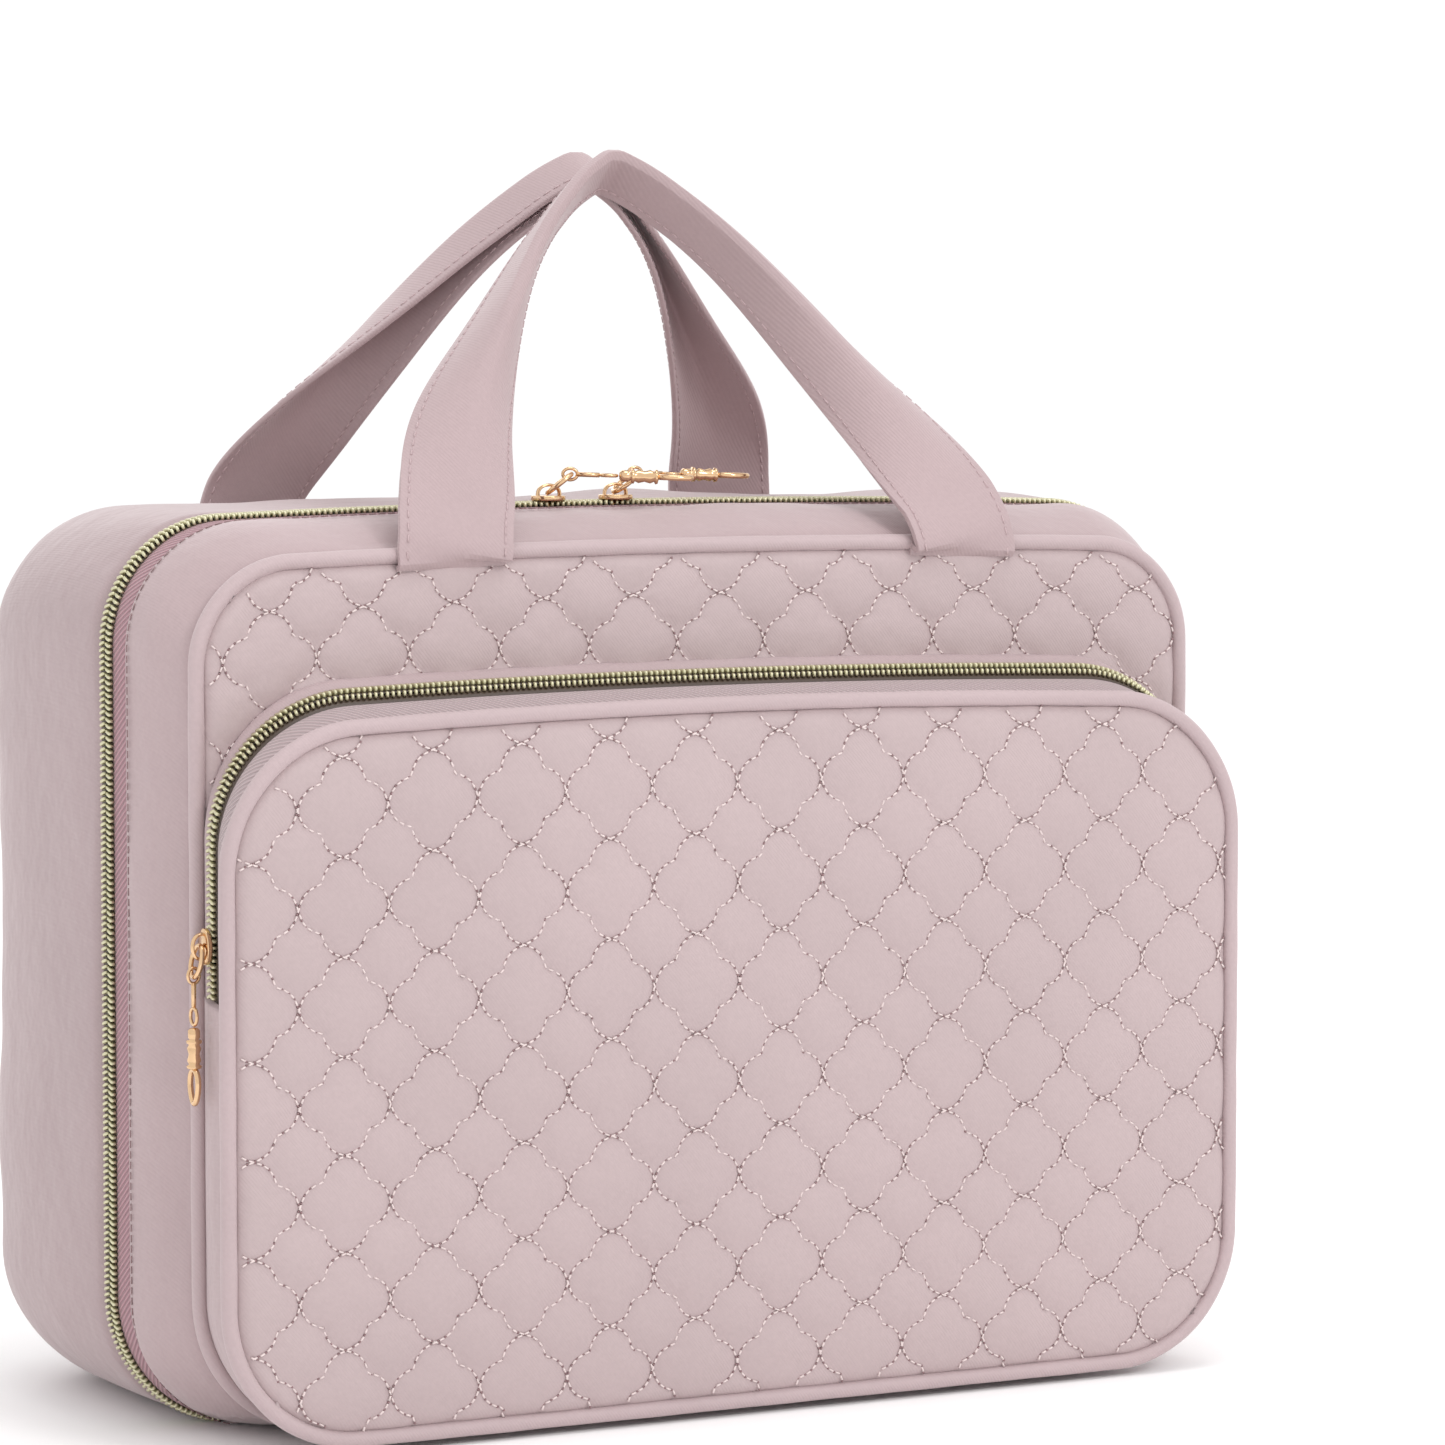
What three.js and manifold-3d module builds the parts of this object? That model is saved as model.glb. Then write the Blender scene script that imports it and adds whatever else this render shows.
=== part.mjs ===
// Quilted travel make-up bag, standing on its base with both handles held up.
// Millimetres, +Z up, +X to the bag's right seen from the front, the front faces -Y.
// The origin is under the middle of the bag, on the surface it stands on.
import * as THREE from 'three';
import Module from 'manifold-3d';
import { mergeVertices } from 'three/addons/utils/BufferGeometryUtils.js';
import { ConvexGeometry } from 'three/addons/geometries/ConvexGeometry.js';

const wasm = await Module();
wasm.setup();

// ---------------------------------------------------------------- sizes
const GAP = 0.3; // air left between pieces that touch

// Depth stations, front to back.
const POCKET_Y = -77; // plane of the pocket's piping
const POCKET_ZIP_Y = -63; // middle of the pocket zip
const PANEL_Y = -54; // plane of the front panel's piping
const ZIP_Y = -21; // middle of the main zip, where the two halves part
const BACK_Y = 81; // outside of the back

// Outlines: half width, bottom, top, top corner, bottom corner, rise of the top's middle.
const BODY = { half: 150, bottom: 0, top: 225, topCorner: 30, bottomCorner: 34, crown: 3 };
const PANEL = { half: 140, bottom: 3.8, top: 215.5, topCorner: 25, bottomCorner: 33, crown: 2.7 };
const POCKET = { half: 142, bottom: 3.8, top: 175.5, topCorner: 34, bottomCorner: 34, crown: 4 };
const POCKET_BACK = { half: 139, bottom: 4.4, top: 186, topCorner: 36, bottomCorner: 33, crown: 3.5 };

// The bag's fullness: depth, half width, bottom and top of its outline there.
const FULLNESS = [
  [-54, 140, 3.8, 217],
  [-46, 141.5, 2.4, 219],
  [-38, 144, 1, 221.2],
  [-29.5, 147, 0.2, 223.4],
  [-25.5, 149.6, 0, 224.9],
  [-21, 150, 0, 225],
  [-8, 152.5, 0, 225.6],
  [16, 154, 0, 226],
  [40, 153.5, 0, 225.6],
  [54, 151, 0.8, 223],
  [66, 145.5, 4.5, 217.5],
  [75, 137, 12, 209],
  [81, 122, 27, 194],
];

const SHELL = 3; // padded outer fabric
const LINING = 0.8;
const PIPING = 5; // covered cord round each quilted panel
const QUILT = 5; // quilted panel with its wadding
const TEETH = 2.4; // width of one row of coil
const TEETH_HIGH = 2;
const TAPE = 0.6;
const ZIP_HALF_GAP = 0.5;
const ZIP_END_X = 122; // the main zip stops here under the bag, at both sides
const POCKET_ZIP_END_Z = 111; // the pocket zip stops here at both sides
const STRAP = 30; // handle strap laid flat
const STRAP_FOLDED = 15;
const STRAP_THICK = 4;
const HANDLE_LEAN = THREE.MathUtils.degToRad(34); // each handle leans in over the bag
const FOOT_BACK = 5; // how far the sewn end lies behind the arch's own plane

// ---------------------------------------------------------------- materials
const material = (name, color, roughness, metalness = 0, extra = {}) =>
  Object.assign(new THREE.MeshStandardMaterial({ color, roughness, metalness, ...extra }), { name });
const quilt = material('quilt', 0xd4c0c0, 0.75);
const shellCloth = material('shell', 0xc3afb0, 0.75);
const piping = material('piping', 0xcdbcbc, 0.7);
const strapCloth = material('strap', 0xbda6a8, 0.75);
const tapeCloth = material('tape', 0xc3a0a5, 0.85);
const liningCloth = material('lining', 0xa5917d, 0.5);
const meshCloth = material('mesh', 0xb8a892, 0.8);
const satin = material('satin', 0xa8947f, 0.45);
const coil = material('coil', 0xc8be78, 0.35, 0.8);
const innerCoil = material('inner_coil', 0x9c8a76, 0.5);
const gold = material('gold', 0xc8a06e, 0.2, 1);
const gunmetal = material('gunmetal', 0x3c3c3a, 0.3, 1);
const clear = material('window', 0xe8ecec, 0.1, 0, { transparent: true, opacity: 0.35 });

// ---------------------------------------------------------------- solids
// A geometry as a closed solid for cutting and joining.
function toSolid(geometry) {
  const bare = geometry.clone();
  bare.deleteAttribute('normal');
  bare.deleteAttribute('uv');
  const merged = mergeVertices(bare, 1e-4);
  return new wasm.Manifold(
    new wasm.Mesh({
      numProp: 3,
      vertProperties: new Float32Array(merged.attributes.position.array),
      triVerts: new Uint32Array(merged.index.array),
    }),
  );
}

function toGeometry(solid) {
  const mesh = solid.getMesh();
  const geometry = new THREE.BufferGeometry();
  geometry.setAttribute('position', new THREE.BufferAttribute(new Float32Array(mesh.vertProperties), 3));
  geometry.setIndex(new THREE.BufferAttribute(new Uint32Array(mesh.triVerts), 1));
  geometry.computeVertexNormals();
  return geometry;
}

const cut = (base, ...tools) =>
  toGeometry(tools.reduce((left, tool) => left.subtract(toSolid(tool)), toSolid(base)));
const join = (...parts) => toGeometry(parts.slice(1).reduce((sum, part) => sum.add(toSolid(part)), toSolid(parts[0])));
const common = (base, tool) => toGeometry(toSolid(base).intersect(toSolid(tool)));

// An upright box between two corners.
function box(x0, x1, y0, y1, z0, z1) {
  return new THREE.BoxGeometry(x1 - x0, y1 - y0, z1 - z0).translate((x0 + x1) / 2, (y0 + y1) / 2, (z0 + z1) / 2);
}

// ---------------------------------------------------------------- outlines
// Points of a rounded outline, anticlockwise, drawn in by `inset`.
function outlinePoints(size, inset = 0, cornerSteps = 6, edgeSteps = 6) {
  const half = size.half - inset;
  const bottom = size.bottom + inset;
  const top = size.top - inset;
  const points = [];
  const arc = (cx, cz, radius, from) => {
    for (let i = 0; i <= cornerSteps; i += 1) {
      const angle = from + (i / cornerSteps) * (Math.PI / 2);
      points.push(new THREE.Vector2(cx + radius * Math.cos(angle), cz + radius * Math.sin(angle)));
    }
  };
  const topCorner = Math.max(size.topCorner - inset, 2);
  const bottomCorner = Math.max(size.bottomCorner - inset, 2);
  arc(half - topCorner, top - topCorner, topCorner, 0);
  for (let i = 1; i < edgeSteps; i += 1) {
    points.push(new THREE.Vector2((half - topCorner) * (1 - (2 * i) / edgeSteps), top));
  }
  arc(topCorner - half, top - topCorner, topCorner, Math.PI / 2);
  arc(bottomCorner - half, bottom + bottomCorner, bottomCorner, Math.PI);
  arc(half - bottomCorner, bottom + bottomCorner, bottomCorner, -Math.PI / 2);
  const middle = (top + bottom) / 2;
  points.forEach((point) => {
    const high = Math.max(0, (point.y - middle) / (top - middle));
    point.y += size.crown * high * (1 - (point.x / half) ** 2);
  });
  return points;
}

// Stand a shape drawn in X and Z upright, filling the depth from y0 to y1.
function stand(shape, y0, y1) {
  return new THREE.ExtrudeGeometry(shape, { depth: y1 - y0, bevelEnabled: false })
    .rotateX(Math.PI / 2)
    .translate(0, y1, 0);
}

const plate = (size, inset, y0, y1) => stand(new THREE.Shape(outlinePoints(size, inset)), y0, y1);

// A frame following an outline, between two insets.
function frame(size, outer, inner, y0, y1) {
  const shape = new THREE.Shape(outlinePoints(size, outer));
  shape.holes.push(new THREE.Path(outlinePoints(size, inner)));
  return stand(shape, y0, y1);
}

// A covered cord round an outline: a frame with its four long edges taken off.
function cord(size, y) {
  const half = PIPING / 2;
  const shape = new THREE.Shape(outlinePoints(size, -half + 1.2));
  shape.holes.push(new THREE.Path(outlinePoints(size, half - 1.2)));
  return new THREE.ExtrudeGeometry(shape, {
    depth: PIPING - 2.4,
    bevelThickness: 1.2,
    bevelSize: 1.2,
    bevelSegments: 1,
  })
    .rotateX(Math.PI / 2)
    .translate(0, y + half - 1.2, 0);
}

// The body's outline at a depth, read from the fullness list.
function bodyAt(y) {
  const last = FULLNESS.length - 1;
  let i = 0;
  while (i < last - 1 && FULLNESS[i + 1][0] < y) {
    i += 1;
  }
  const [from, to] = [FULLNESS[i], FULLNESS[i + 1]];
  const share = (y - from[0]) / (to[0] - from[0]);
  return from.map((value, n) => value + (to[n] - value) * share);
}

// A solid filling the body between depth stations, drawn in by `inset` on every side and at the back.
function bodyFill(stations, inset) {
  const size = BODY;
  const steps = stations.length - 1;
  const geometry = new THREE.ExtrudeGeometry(new THREE.Shape(outlinePoints(size, inset)), {
    depth: steps,
    steps,
    bevelEnabled: false,
  });
  const position = geometry.attributes.position;
  const middle = (size.top + size.bottom) / 2;
  for (let i = 0; i < position.count; i += 1) {
    const station = stations[steps - Math.round(position.getZ(i))];
    const [, half, bottom, top] = bodyAt(station);
    const round = THREE.MathUtils.smoothstep(station, 44, BACK_Y);
    const draw = inset * (1 - 0.55 * round);
    const x = (position.getX(i) / (size.half - inset)) * (half - draw);
    const z = position.getY(i);
    const upright =
      z > middle
        ? middle + ((z - middle) / (size.top - inset - middle)) * (top - draw - middle)
        : middle - ((middle - z) / (middle - size.bottom - inset)) * (middle - bottom - draw);
    position.setXYZ(i, x, station - inset * round, upright);
  }
  return geometry;
}

// A closed band of the body between two insets, open at both ends.
const bodyBand = (stations, outer, inner) =>
  cut(bodyFill(stations, outer), bodyFill([stations[0] - 1, ...stations.slice(1, -1), stations.at(-1) + 1], inner));

// ---------------------------------------------------------------- assembly helpers
const bag = new THREE.Group();
bag.name = 'makeup_bag';

function place(name, geometry, look, parent = bag) {
  const clean = geometry.index ? geometry : mergeVertices(geometry, 1e-4);
  const mesh = new THREE.Mesh(clean, look.clone());
  mesh.name = name;
  parent.add(mesh);
  return mesh;
}

const underBag = join(box(-ZIP_END_X, ZIP_END_X, -60, 60, -5, 25), box(-160, 160, -60, 60, -5, 0.3));
const betweenZipEnds = box(-ZIP_END_X + GAP, ZIP_END_X - GAP, -60, 60, -5, 25);

// ---------------------------------------------------------------- back half
const BACK_STATIONS = [ZIP_Y + 3.9, -8, 16, 40, 54, 66, 75, BACK_Y];

function backShell() {
  const outside = bodyFill(BACK_STATIONS, 0);
  const inside = bodyFill([ZIP_Y + 2, ...BACK_STATIONS.slice(1)], SHELL);
  const rebate = frame(BODY, 1.3, 6, ZIP_Y + 2, ZIP_Y + 6.3);
  return cut(outside, inside, rebate);
}

function backLining() {
  const stations = [ZIP_Y + 7, ...BACK_STATIONS.slice(1)];
  const outside = bodyFill(stations, SHELL + GAP);
  const inside = bodyFill([ZIP_Y + 5, ...BACK_STATIONS.slice(1)], SHELL + GAP + LINING);
  return cut(outside, inside);
}

// One row of the main zip: the coil stands a little proud of the fabric.
function mainZipRow(y0) {
  return cut(frame(BODY, -0.6, TEETH_HIGH - 0.6, y0, y0 + TEETH), underBag);
}

place('back_shell', backShell(), shellCloth);
place('back_lining', backLining(), liningCloth);
place('back_zip_teeth', mainZipRow(ZIP_Y + ZIP_HALF_GAP), coil);
place('back_zip_tape', cut(frame(BODY, 1.7, 1.7 + TAPE, ZIP_Y + ZIP_HALF_GAP, ZIP_Y + 6), underBag), tapeCloth);
place(
  'back_hinge_strip',
  common(frame(BODY, 0, 1.2, ZIP_Y + GAP, ZIP_Y + 3.6), betweenZipEnds),
  shellCloth,
);
place('back_seam_binding', frame(BODY, 4.8, 5.6, ZIP_Y + 7, ZIP_Y + 15), satin);

// Gathered slots for brushes, sewn to the lining of the back.
function brushPocket() {
  const slots = 5;
  const wide = 38;
  const deep = 11;
  const slope = 5;
  const thick = 1;
  const outer = [];
  const inner = [];
  for (let i = 0; i < slots; i += 1) {
    const left = (i - slots / 2) * wide;
    for (const [x, rise] of [[0, 0], [slope, deep], [wide - slope, deep]]) {
      outer.push(new THREE.Vector2(left + x, -rise - thick));
      inner.push(new THREE.Vector2(left + x, -rise));
    }
  }
  outer.push(new THREE.Vector2((slots * wide) / 2, -thick));
  inner.push(new THREE.Vector2((slots * wide) / 2, 0));
  const shape = new THREE.Shape([...outer, ...inner.reverse()]);
  const wall = BACK_Y - SHELL - LINING - 2 * GAP - 0.2;
  return new THREE.ExtrudeGeometry(shape, { depth: 92, bevelEnabled: false }).translate(0, wall, 40);
}
place('brush_pocket', brushPocket(), satin);

// The clear cover that hangs over the brushes from a bound top edge.
const FLAP_TOP = 192;
const FLAP_Y = 62;
const clearFlap = new THREE.Group();
clearFlap.name = 'clear_flap';
bag.add(clearFlap);
const flapShape = { half: 96, bottom: 88, top: FLAP_TOP, topCorner: 4, bottomCorner: 22, crown: 0 };
place('clear_window', plate(flapShape, 3.3, FLAP_Y - 0.4, FLAP_Y), clear, clearFlap);
place('clear_window_binding', frame(flapShape, 0, 3, FLAP_Y - 0.9, FLAP_Y + 0.5), satin, clearFlap);
place('flap_mount_strip', box(-96, 96, FLAP_Y + 1, 75.6, FLAP_TOP - 3, FLAP_TOP), satin);

// ---------------------------------------------------------------- front half
const FRONT_STATIONS = [PANEL_Y + 2.9, -46, -38, ZIP_Y - 9];
const frontHalf = new THREE.Group();
frontHalf.name = 'front_half';
bag.add(frontHalf);

function frontLining() {
  const stations = [PANEL_Y + 3.3, -46, -38, -29.5, ZIP_Y - 4.5];
  const outside = bodyFill(stations, SHELL + GAP);
  const inside = bodyFill([PANEL_Y + 3.3 + LINING, -46, -38, -29.5, ZIP_Y - 4], SHELL + GAP + LINING);
  return cut(outside, inside);
}

place('front_gusset', bodyBand(FRONT_STATIONS, 0, SHELL), shellCloth, frontHalf);
place('front_panel', plate(PANEL, PIPING / 2 + GAP, PANEL_Y - 2.4, PANEL_Y + 2.6), quilt, frontHalf);
place('front_piping', cord(PANEL, PANEL_Y), piping, frontHalf);
place('front_lining', frontLining(), liningCloth, frontHalf);
place('front_zip_teeth', mainZipRow(ZIP_Y - ZIP_HALF_GAP - TEETH), coil, frontHalf);
place(
  'front_zip_tape',
  cut(
    bodyBand([ZIP_Y - 8.7, ZIP_Y - 4.5, ZIP_Y - ZIP_HALF_GAP], 1.7, 1.7 + TAPE),
    underBag,
  ),
  tapeCloth,
  frontHalf,
);
place(
  'front_hinge_strip',
  common(bodyBand([ZIP_Y - 8.7, ZIP_Y - 4.5, ZIP_Y - GAP], 0, 1.2), betweenZipEnds),
  shellCloth,
  frontHalf,
);

// Mesh pocket inside the front half: two mesh panels, two satin bands and a zip between them.
const MESH_Y = -40;
const MESH = { half: 137, bottom: 8, top: 213, topCorner: 22, bottomCorner: 28, crown: 2 };
const meshSlice = (z0, z1, y0, y1, inset = 4) => common(plate(MESH, inset, y0, y1), box(-160, 160, -60, 0, z0, z1));
place('mesh_lower', meshSlice(0, 150, MESH_Y - 0.4, MESH_Y + 0.4), meshCloth, frontHalf);
place('mesh_lower_band', meshSlice(150.3, 162, MESH_Y - 0.6, MESH_Y + 0.6), satin, frontHalf);
place('mesh_zip_teeth', meshSlice(162.3, 166.3, MESH_Y - 0.9, MESH_Y + 0.9, 8), innerCoil, frontHalf);
place('mesh_upper_band', meshSlice(166.6, 178, MESH_Y - 0.6, MESH_Y + 0.6), satin, frontHalf);
place('mesh_upper', meshSlice(178.3, 230, MESH_Y - 0.4, MESH_Y + 0.4), meshCloth, frontHalf);
place('mesh_binding', frame(MESH, 0, 3.7, MESH_Y - 1, MESH_Y + 1), satin, frontHalf);

// ---------------------------------------------------------------- pocket on the front
const PANEL_FACE = PANEL_Y - 2.4;
const POCKET_FACE = POCKET_Y - 2.4;
const pocketRim = box(-160, 160, -100, 0, POCKET_ZIP_END_Z + GAP, 230);
const pocketBase = box(-160, 160, -100, 0, -5, POCKET_ZIP_END_Z);

// The pocket's outline widens a little and drops towards the front.
function pocketBand(y0, y1, outer, inner) {
  const geometry = frame(POCKET_BACK, outer, inner, y0, y1);
  const position = geometry.attributes.position;
  const middle = 95;
  for (let i = 0; i < position.count; i += 1) {
    const share = (PANEL_FACE - position.getY(i)) / (PANEL_FACE - POCKET_Y);
    const wide = 1 + (share * (POCKET.half - POCKET_BACK.half)) / POCKET_BACK.half;
    const z = position.getZ(i);
    const drop = z > middle ? (share * (POCKET_BACK.top - POCKET.top) * (z - middle)) / (POCKET_BACK.top - middle) : 0;
    position.setX(i, position.getX(i) * wide);
    position.setZ(i, z - drop);
  }
  return geometry;
}

const POCKET_BACK_END = PANEL_Y - PIPING / 2 - GAP;
const POCKET_FRONT_END = POCKET_Y + PIPING / 2 + GAP;
const REAR_ROW = POCKET_ZIP_Y + ZIP_HALF_GAP;
const FRONT_ROW = POCKET_ZIP_Y - ZIP_HALF_GAP - TEETH;

function pocketGusset() {
  const rear = pocketBand(REAR_ROW + TEETH + GAP, POCKET_BACK_END, 0, 2);
  const whole = pocketBand(POCKET_FRONT_END, POCKET_BACK_END, 0, 2);
  return join(rear, common(whole, pocketBase));
}

place('pocket_gusset', pocketGusset(), shellCloth, frontHalf);
place(
  'pocket_rear_zip_teeth',
  common(pocketBand(REAR_ROW, REAR_ROW + TEETH, -0.7, 1.1), pocketRim),
  coil,
  frontHalf,
);
place(
  'pocket_rear_zip_tape',
  common(pocketBand(REAR_ROW, REAR_ROW + TEETH, 1.4, 2), pocketRim),
  tapeCloth,
  frontHalf,
);
place('pocket_back_lining', plate(POCKET_BACK, 3.6, PANEL_FACE - GAP - LINING, PANEL_FACE - GAP), liningCloth, frontHalf);
const pocketPanel = plate(POCKET, PIPING / 2 + GAP, POCKET_FACE, POCKET_FACE + QUILT);
const pocketCord = cord(POCKET, POCKET_Y);
const pocketLining = plate(POCKET, 5, POCKET_FACE + QUILT + GAP, POCKET_FACE + QUILT + GAP + LINING);
place('pocket_panel_lower', common(pocketPanel, pocketBase), quilt, frontHalf);
place('pocket_piping_lower', common(pocketCord, pocketBase), piping, frontHalf);
place('pocket_lining_lower', common(pocketLining, pocketBase), liningCloth, frontHalf);

// The upper part of the pocket's front folds down when the zip is open.
const pocketFlap = new THREE.Group();
pocketFlap.name = 'pocket_flap';
frontHalf.add(pocketFlap);
place('pocket_panel_upper', common(pocketPanel, pocketRim), quilt, pocketFlap);
place('pocket_piping_upper', common(pocketCord, pocketRim), piping, pocketFlap);
place('pocket_lining_upper', common(pocketLining, pocketRim), liningCloth, pocketFlap);
place(
  'pocket_front_zip_teeth',
  common(pocketBand(FRONT_ROW, FRONT_ROW + TEETH, -0.7, 1.1), pocketRim),
  coil,
  pocketFlap,
);
place(
  'pocket_front_zip_tape',
  common(pocketBand(POCKET_FRONT_END, FRONT_ROW + TEETH, 1.4, 2), pocketRim),
  tapeCloth,
  pocketFlap,
);

// ---------------------------------------------------------------- handles
// Half of the arch in its own plane: across from the middle, and up from the feet.
const ARCH = [
  [72, 0],
  [69, 20],
  [59, 46],
  [44, 74],
  [26, 100.5],
  [11, 116],
  [0, 120.5],
];

class Arch extends THREE.Curve {
  constructor(points) {
    super();
    this.spline = new THREE.SplineCurve(points);
  }

  getPoint(t, target = new THREE.Vector3()) {
    const point = this.spline.getPoint(t);
    return target.set(point.x, 0, point.y);
  }
}

// A strap folded lengthwise along its grip, opening out flat at both feet. Local Y is across the strap.
function handleGeometry() {
  const right = ARCH.slice(2).map(([x, z]) => new THREE.Vector2(x, z));
  const left = ARCH.slice(2, -1)
    .reverse()
    .map(([x, z]) => new THREE.Vector2(-x, z));
  const section = new THREE.Shape();
  const wide = STRAP_FOLDED / 2;
  const thick = STRAP_THICK / 2;
  section.moveTo(-thick, -wide);
  section.lineTo(thick, -wide);
  section.lineTo(thick, wide);
  section.lineTo(-thick, wide);
  const grip = new THREE.ExtrudeGeometry(section, {
    steps: 28,
    bevelEnabled: false,
    extrudePath: new Arch([...right, ...left]),
  });
  return join(grip, handleFoot(1), handleFoot(-1));
}

// The strap between its sewn end and the place where it is fully folded: it comes up the panel's face,
// clears the piping, then leans with the arch while its edges fold in.
function handleFoot(side) {
  const lean = HANDLE_LEAN;
  const section = (x, y, z, across, through) => {
    const corners = [];
    for (const a of [-0.5, 0.5]) {
      for (const b of [-0.5, 0.5]) {
        corners.push(
          new THREE.Vector3(
            side * (x + a * across.x),
            y + b * through.y,
            z + a * across.z + b * through.z,
          ),
        );
      }
    }
    return corners;
  };
  const [x1, z1] = ARCH[2];
  const [x2, z2] = ARCH[3];
  const along = new THREE.Vector2(x2 - x1, z2 - z1).normalize();
  const sewn = section(
    ARCH[0][0],
    FOOT_BACK * Math.cos(lean),
    FOOT_BACK * Math.sin(lean),
    { x: STRAP, z: 0 },
    { y: 2 * Math.cos(lean), z: 2 * Math.sin(lean) },
  );
  const bend = section(71, -1.6, 13, { x: STRAP * 0.95, z: 0 }, { y: 2.6, z: 0 });
  const folded = section(
    x1 + along.x * 3,
    0,
    z1 + along.y * 3,
    { x: -along.y * STRAP_THICK, z: along.x * STRAP_THICK },
    { y: STRAP_FOLDED, z: 0 },
  );
  return join(new ConvexGeometry([...sewn, ...bend]), new ConvexGeometry([...bend, ...folded]));
}

// Both handles are alike: the back one is the front one turned round.
function addHandle(name, y, z, turn, parent) {
  const holder = new THREE.Group();
  holder.position.set(0, y, z);
  holder.rotation.z = turn;
  parent.add(holder);
  place(name, handleGeometry(), strapCloth, holder).rotation.x = -HANDLE_LEAN;
}
const FRONT_FOOT = { y: PANEL_FACE - 2.2 - FOOT_BACK, z: 213.4 };
const BACK_FOOT = { y: 79.4 + FOOT_BACK, z: 213.4 };
addHandle('front_handle', FRONT_FOOT.y, FRONT_FOOT.z, 0, frontHalf);
addHandle('back_handle', BACK_FOOT.y, BACK_FOOT.z, Math.PI, bag);

// ---------------------------------------------------------------- sliders and pulls
// A slider lying along local X with its coil passing through in the X direction; local Z is outward.
function sliderGeometry(long = 9, wide = 8) {
  const wing = (z0, z1, width) => {
    const shape = new THREE.Shape();
    const [a, b] = [long / 2, width / 2];
    shape.moveTo(-a, -b + 1.4);
    shape.lineTo(-a + 1.4, -b);
    shape.lineTo(a - 3, -b);
    shape.lineTo(a, -b + 2.2);
    shape.lineTo(a, b - 2.2);
    shape.lineTo(a - 3, b);
    shape.lineTo(-a + 1.4, b);
    shape.lineTo(-a, b - 1.4);
    return new THREE.ExtrudeGeometry(shape, { depth: z1 - z0, bevelEnabled: false }).translate(0, 0, z0);
  };
  const top = wing(1.3, 2.4, wide);
  const bottom = wing(-3.4, -2.6, wide - 1);
  const neck = box(-1, 1.5, -0.2, 0.2, -3, 1.8);
  const bridge = cut(box(-3.4, 3.4, -0.9, 0.9, 2.2, 5.5), box(-2.3, 2.3, -2, 2, 2.4, 4.5));
  return join(top, bottom, neck, bridge);
}

// A flat oval loop in local X and Y, wire thickness `wire`, centred on the origin.
function loop(long, wide, wire, steps = 16) {
  const oval = (inset) => {
    const points = [];
    for (let i = 0; i < steps; i += 1) {
      const angle = (i / steps) * Math.PI * 2;
      points.push(
        new THREE.Vector2((long / 2 - inset) * Math.cos(angle), (wide / 2 - inset) * Math.sin(angle)),
      );
    }
    return points;
  };
  const shape = new THREE.Shape(oval(wire * 0.25));
  shape.holes.push(new THREE.Path(oval(wire * 0.75)));
  return new THREE.ExtrudeGeometry(shape, {
    depth: wire * 0.5,
    bevelThickness: wire * 0.25,
    bevelSize: wire * 0.25,
    bevelSegments: 1,
  }).translate(0, 0, -wire * 0.25);
}

const RING_LONG = 9;
const RING_WIDE = 7.4;
const WIRE = 1.3;

// Link: a hook round the ring, a short pin and a small ring at its lower end. Local X runs along the pull.
function pullLink() {
  const hook = loop(4.6, 3.8, 0.9, 12)
    .rotateX(Math.PI / 2)
    .translate(-0.3, 0, 0);
  const pin = new THREE.CylinderGeometry(0.6, 0.6, 6.2, 10).rotateZ(Math.PI / 2).translate(4.5, 0, 0);
  const eye = loop(5, 5, 1, 12).translate(9.6, 0, 0);
  return join(hook, pin, eye);
}

// Charm: a collar, a barrel and an open oval end.
function pullCharm() {
  const collar = new THREE.CylinderGeometry(1.4, 1.4, 3, 12).rotateZ(Math.PI / 2).translate(13.9, 0, 0);
  const barrel = new THREE.CylinderGeometry(1.7, 1.7, 7.2, 12).rotateZ(Math.PI / 2).translate(18.8, 0, 0);
  const end = loop(9.6, 6, 1.5, 16).translate(26.6, 0, 0);
  return join(collar, barrel, end);
}

// A pull hanging from `pivot`; local X runs along the pull, away from the slider.
function addPull(prefix, parent, ringTurn, tailTurn) {
  const ring = new THREE.Group();
  ring.rotation.copy(ringTurn);
  parent.add(ring);
  place(`${prefix}_pull_ring`, loop(RING_LONG, RING_WIDE, WIRE).translate(RING_LONG / 2 - 1, 0, 0), gold, ring);
  const tail = new THREE.Group();
  tail.position.set(RING_LONG - 1 - WIRE / 2, 0, 0);
  tail.rotation.copy(tailTurn);
  ring.add(tail);
  place(`${prefix}_pull_link`, pullLink(), gold, tail);
  place(`${prefix}_pull_charm`, pullCharm(), gold, tail);
}

const radians = THREE.MathUtils.degToRad;
const TOP_Z = BODY.top + BODY.crown;

// The two main sliders meet at the top; their pulls lie over to the right.
function addMainSlider(prefix, x, yaw, facing) {
  const slider = new THREE.Group();
  slider.position.set(x, ZIP_Y, TOP_Z - 0.4);
  bag.add(slider);
  const body = place(`${prefix}_slider`, sliderGeometry(), gold, slider);
  body.rotation.z = facing > 0 ? 0 : Math.PI;
  const pivot = new THREE.Group();
  pivot.position.set(0, 0, 3.4);
  pivot.rotation.z = yaw;
  slider.add(pivot);
  addPull(prefix, pivot, new THREE.Euler(0, radians(-38), 0), new THREE.Euler(0, radians(40), 0));
}
addMainSlider('left', -29, radians(-24), 1);
addMainSlider('right', -10, radians(-6), -1);

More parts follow.
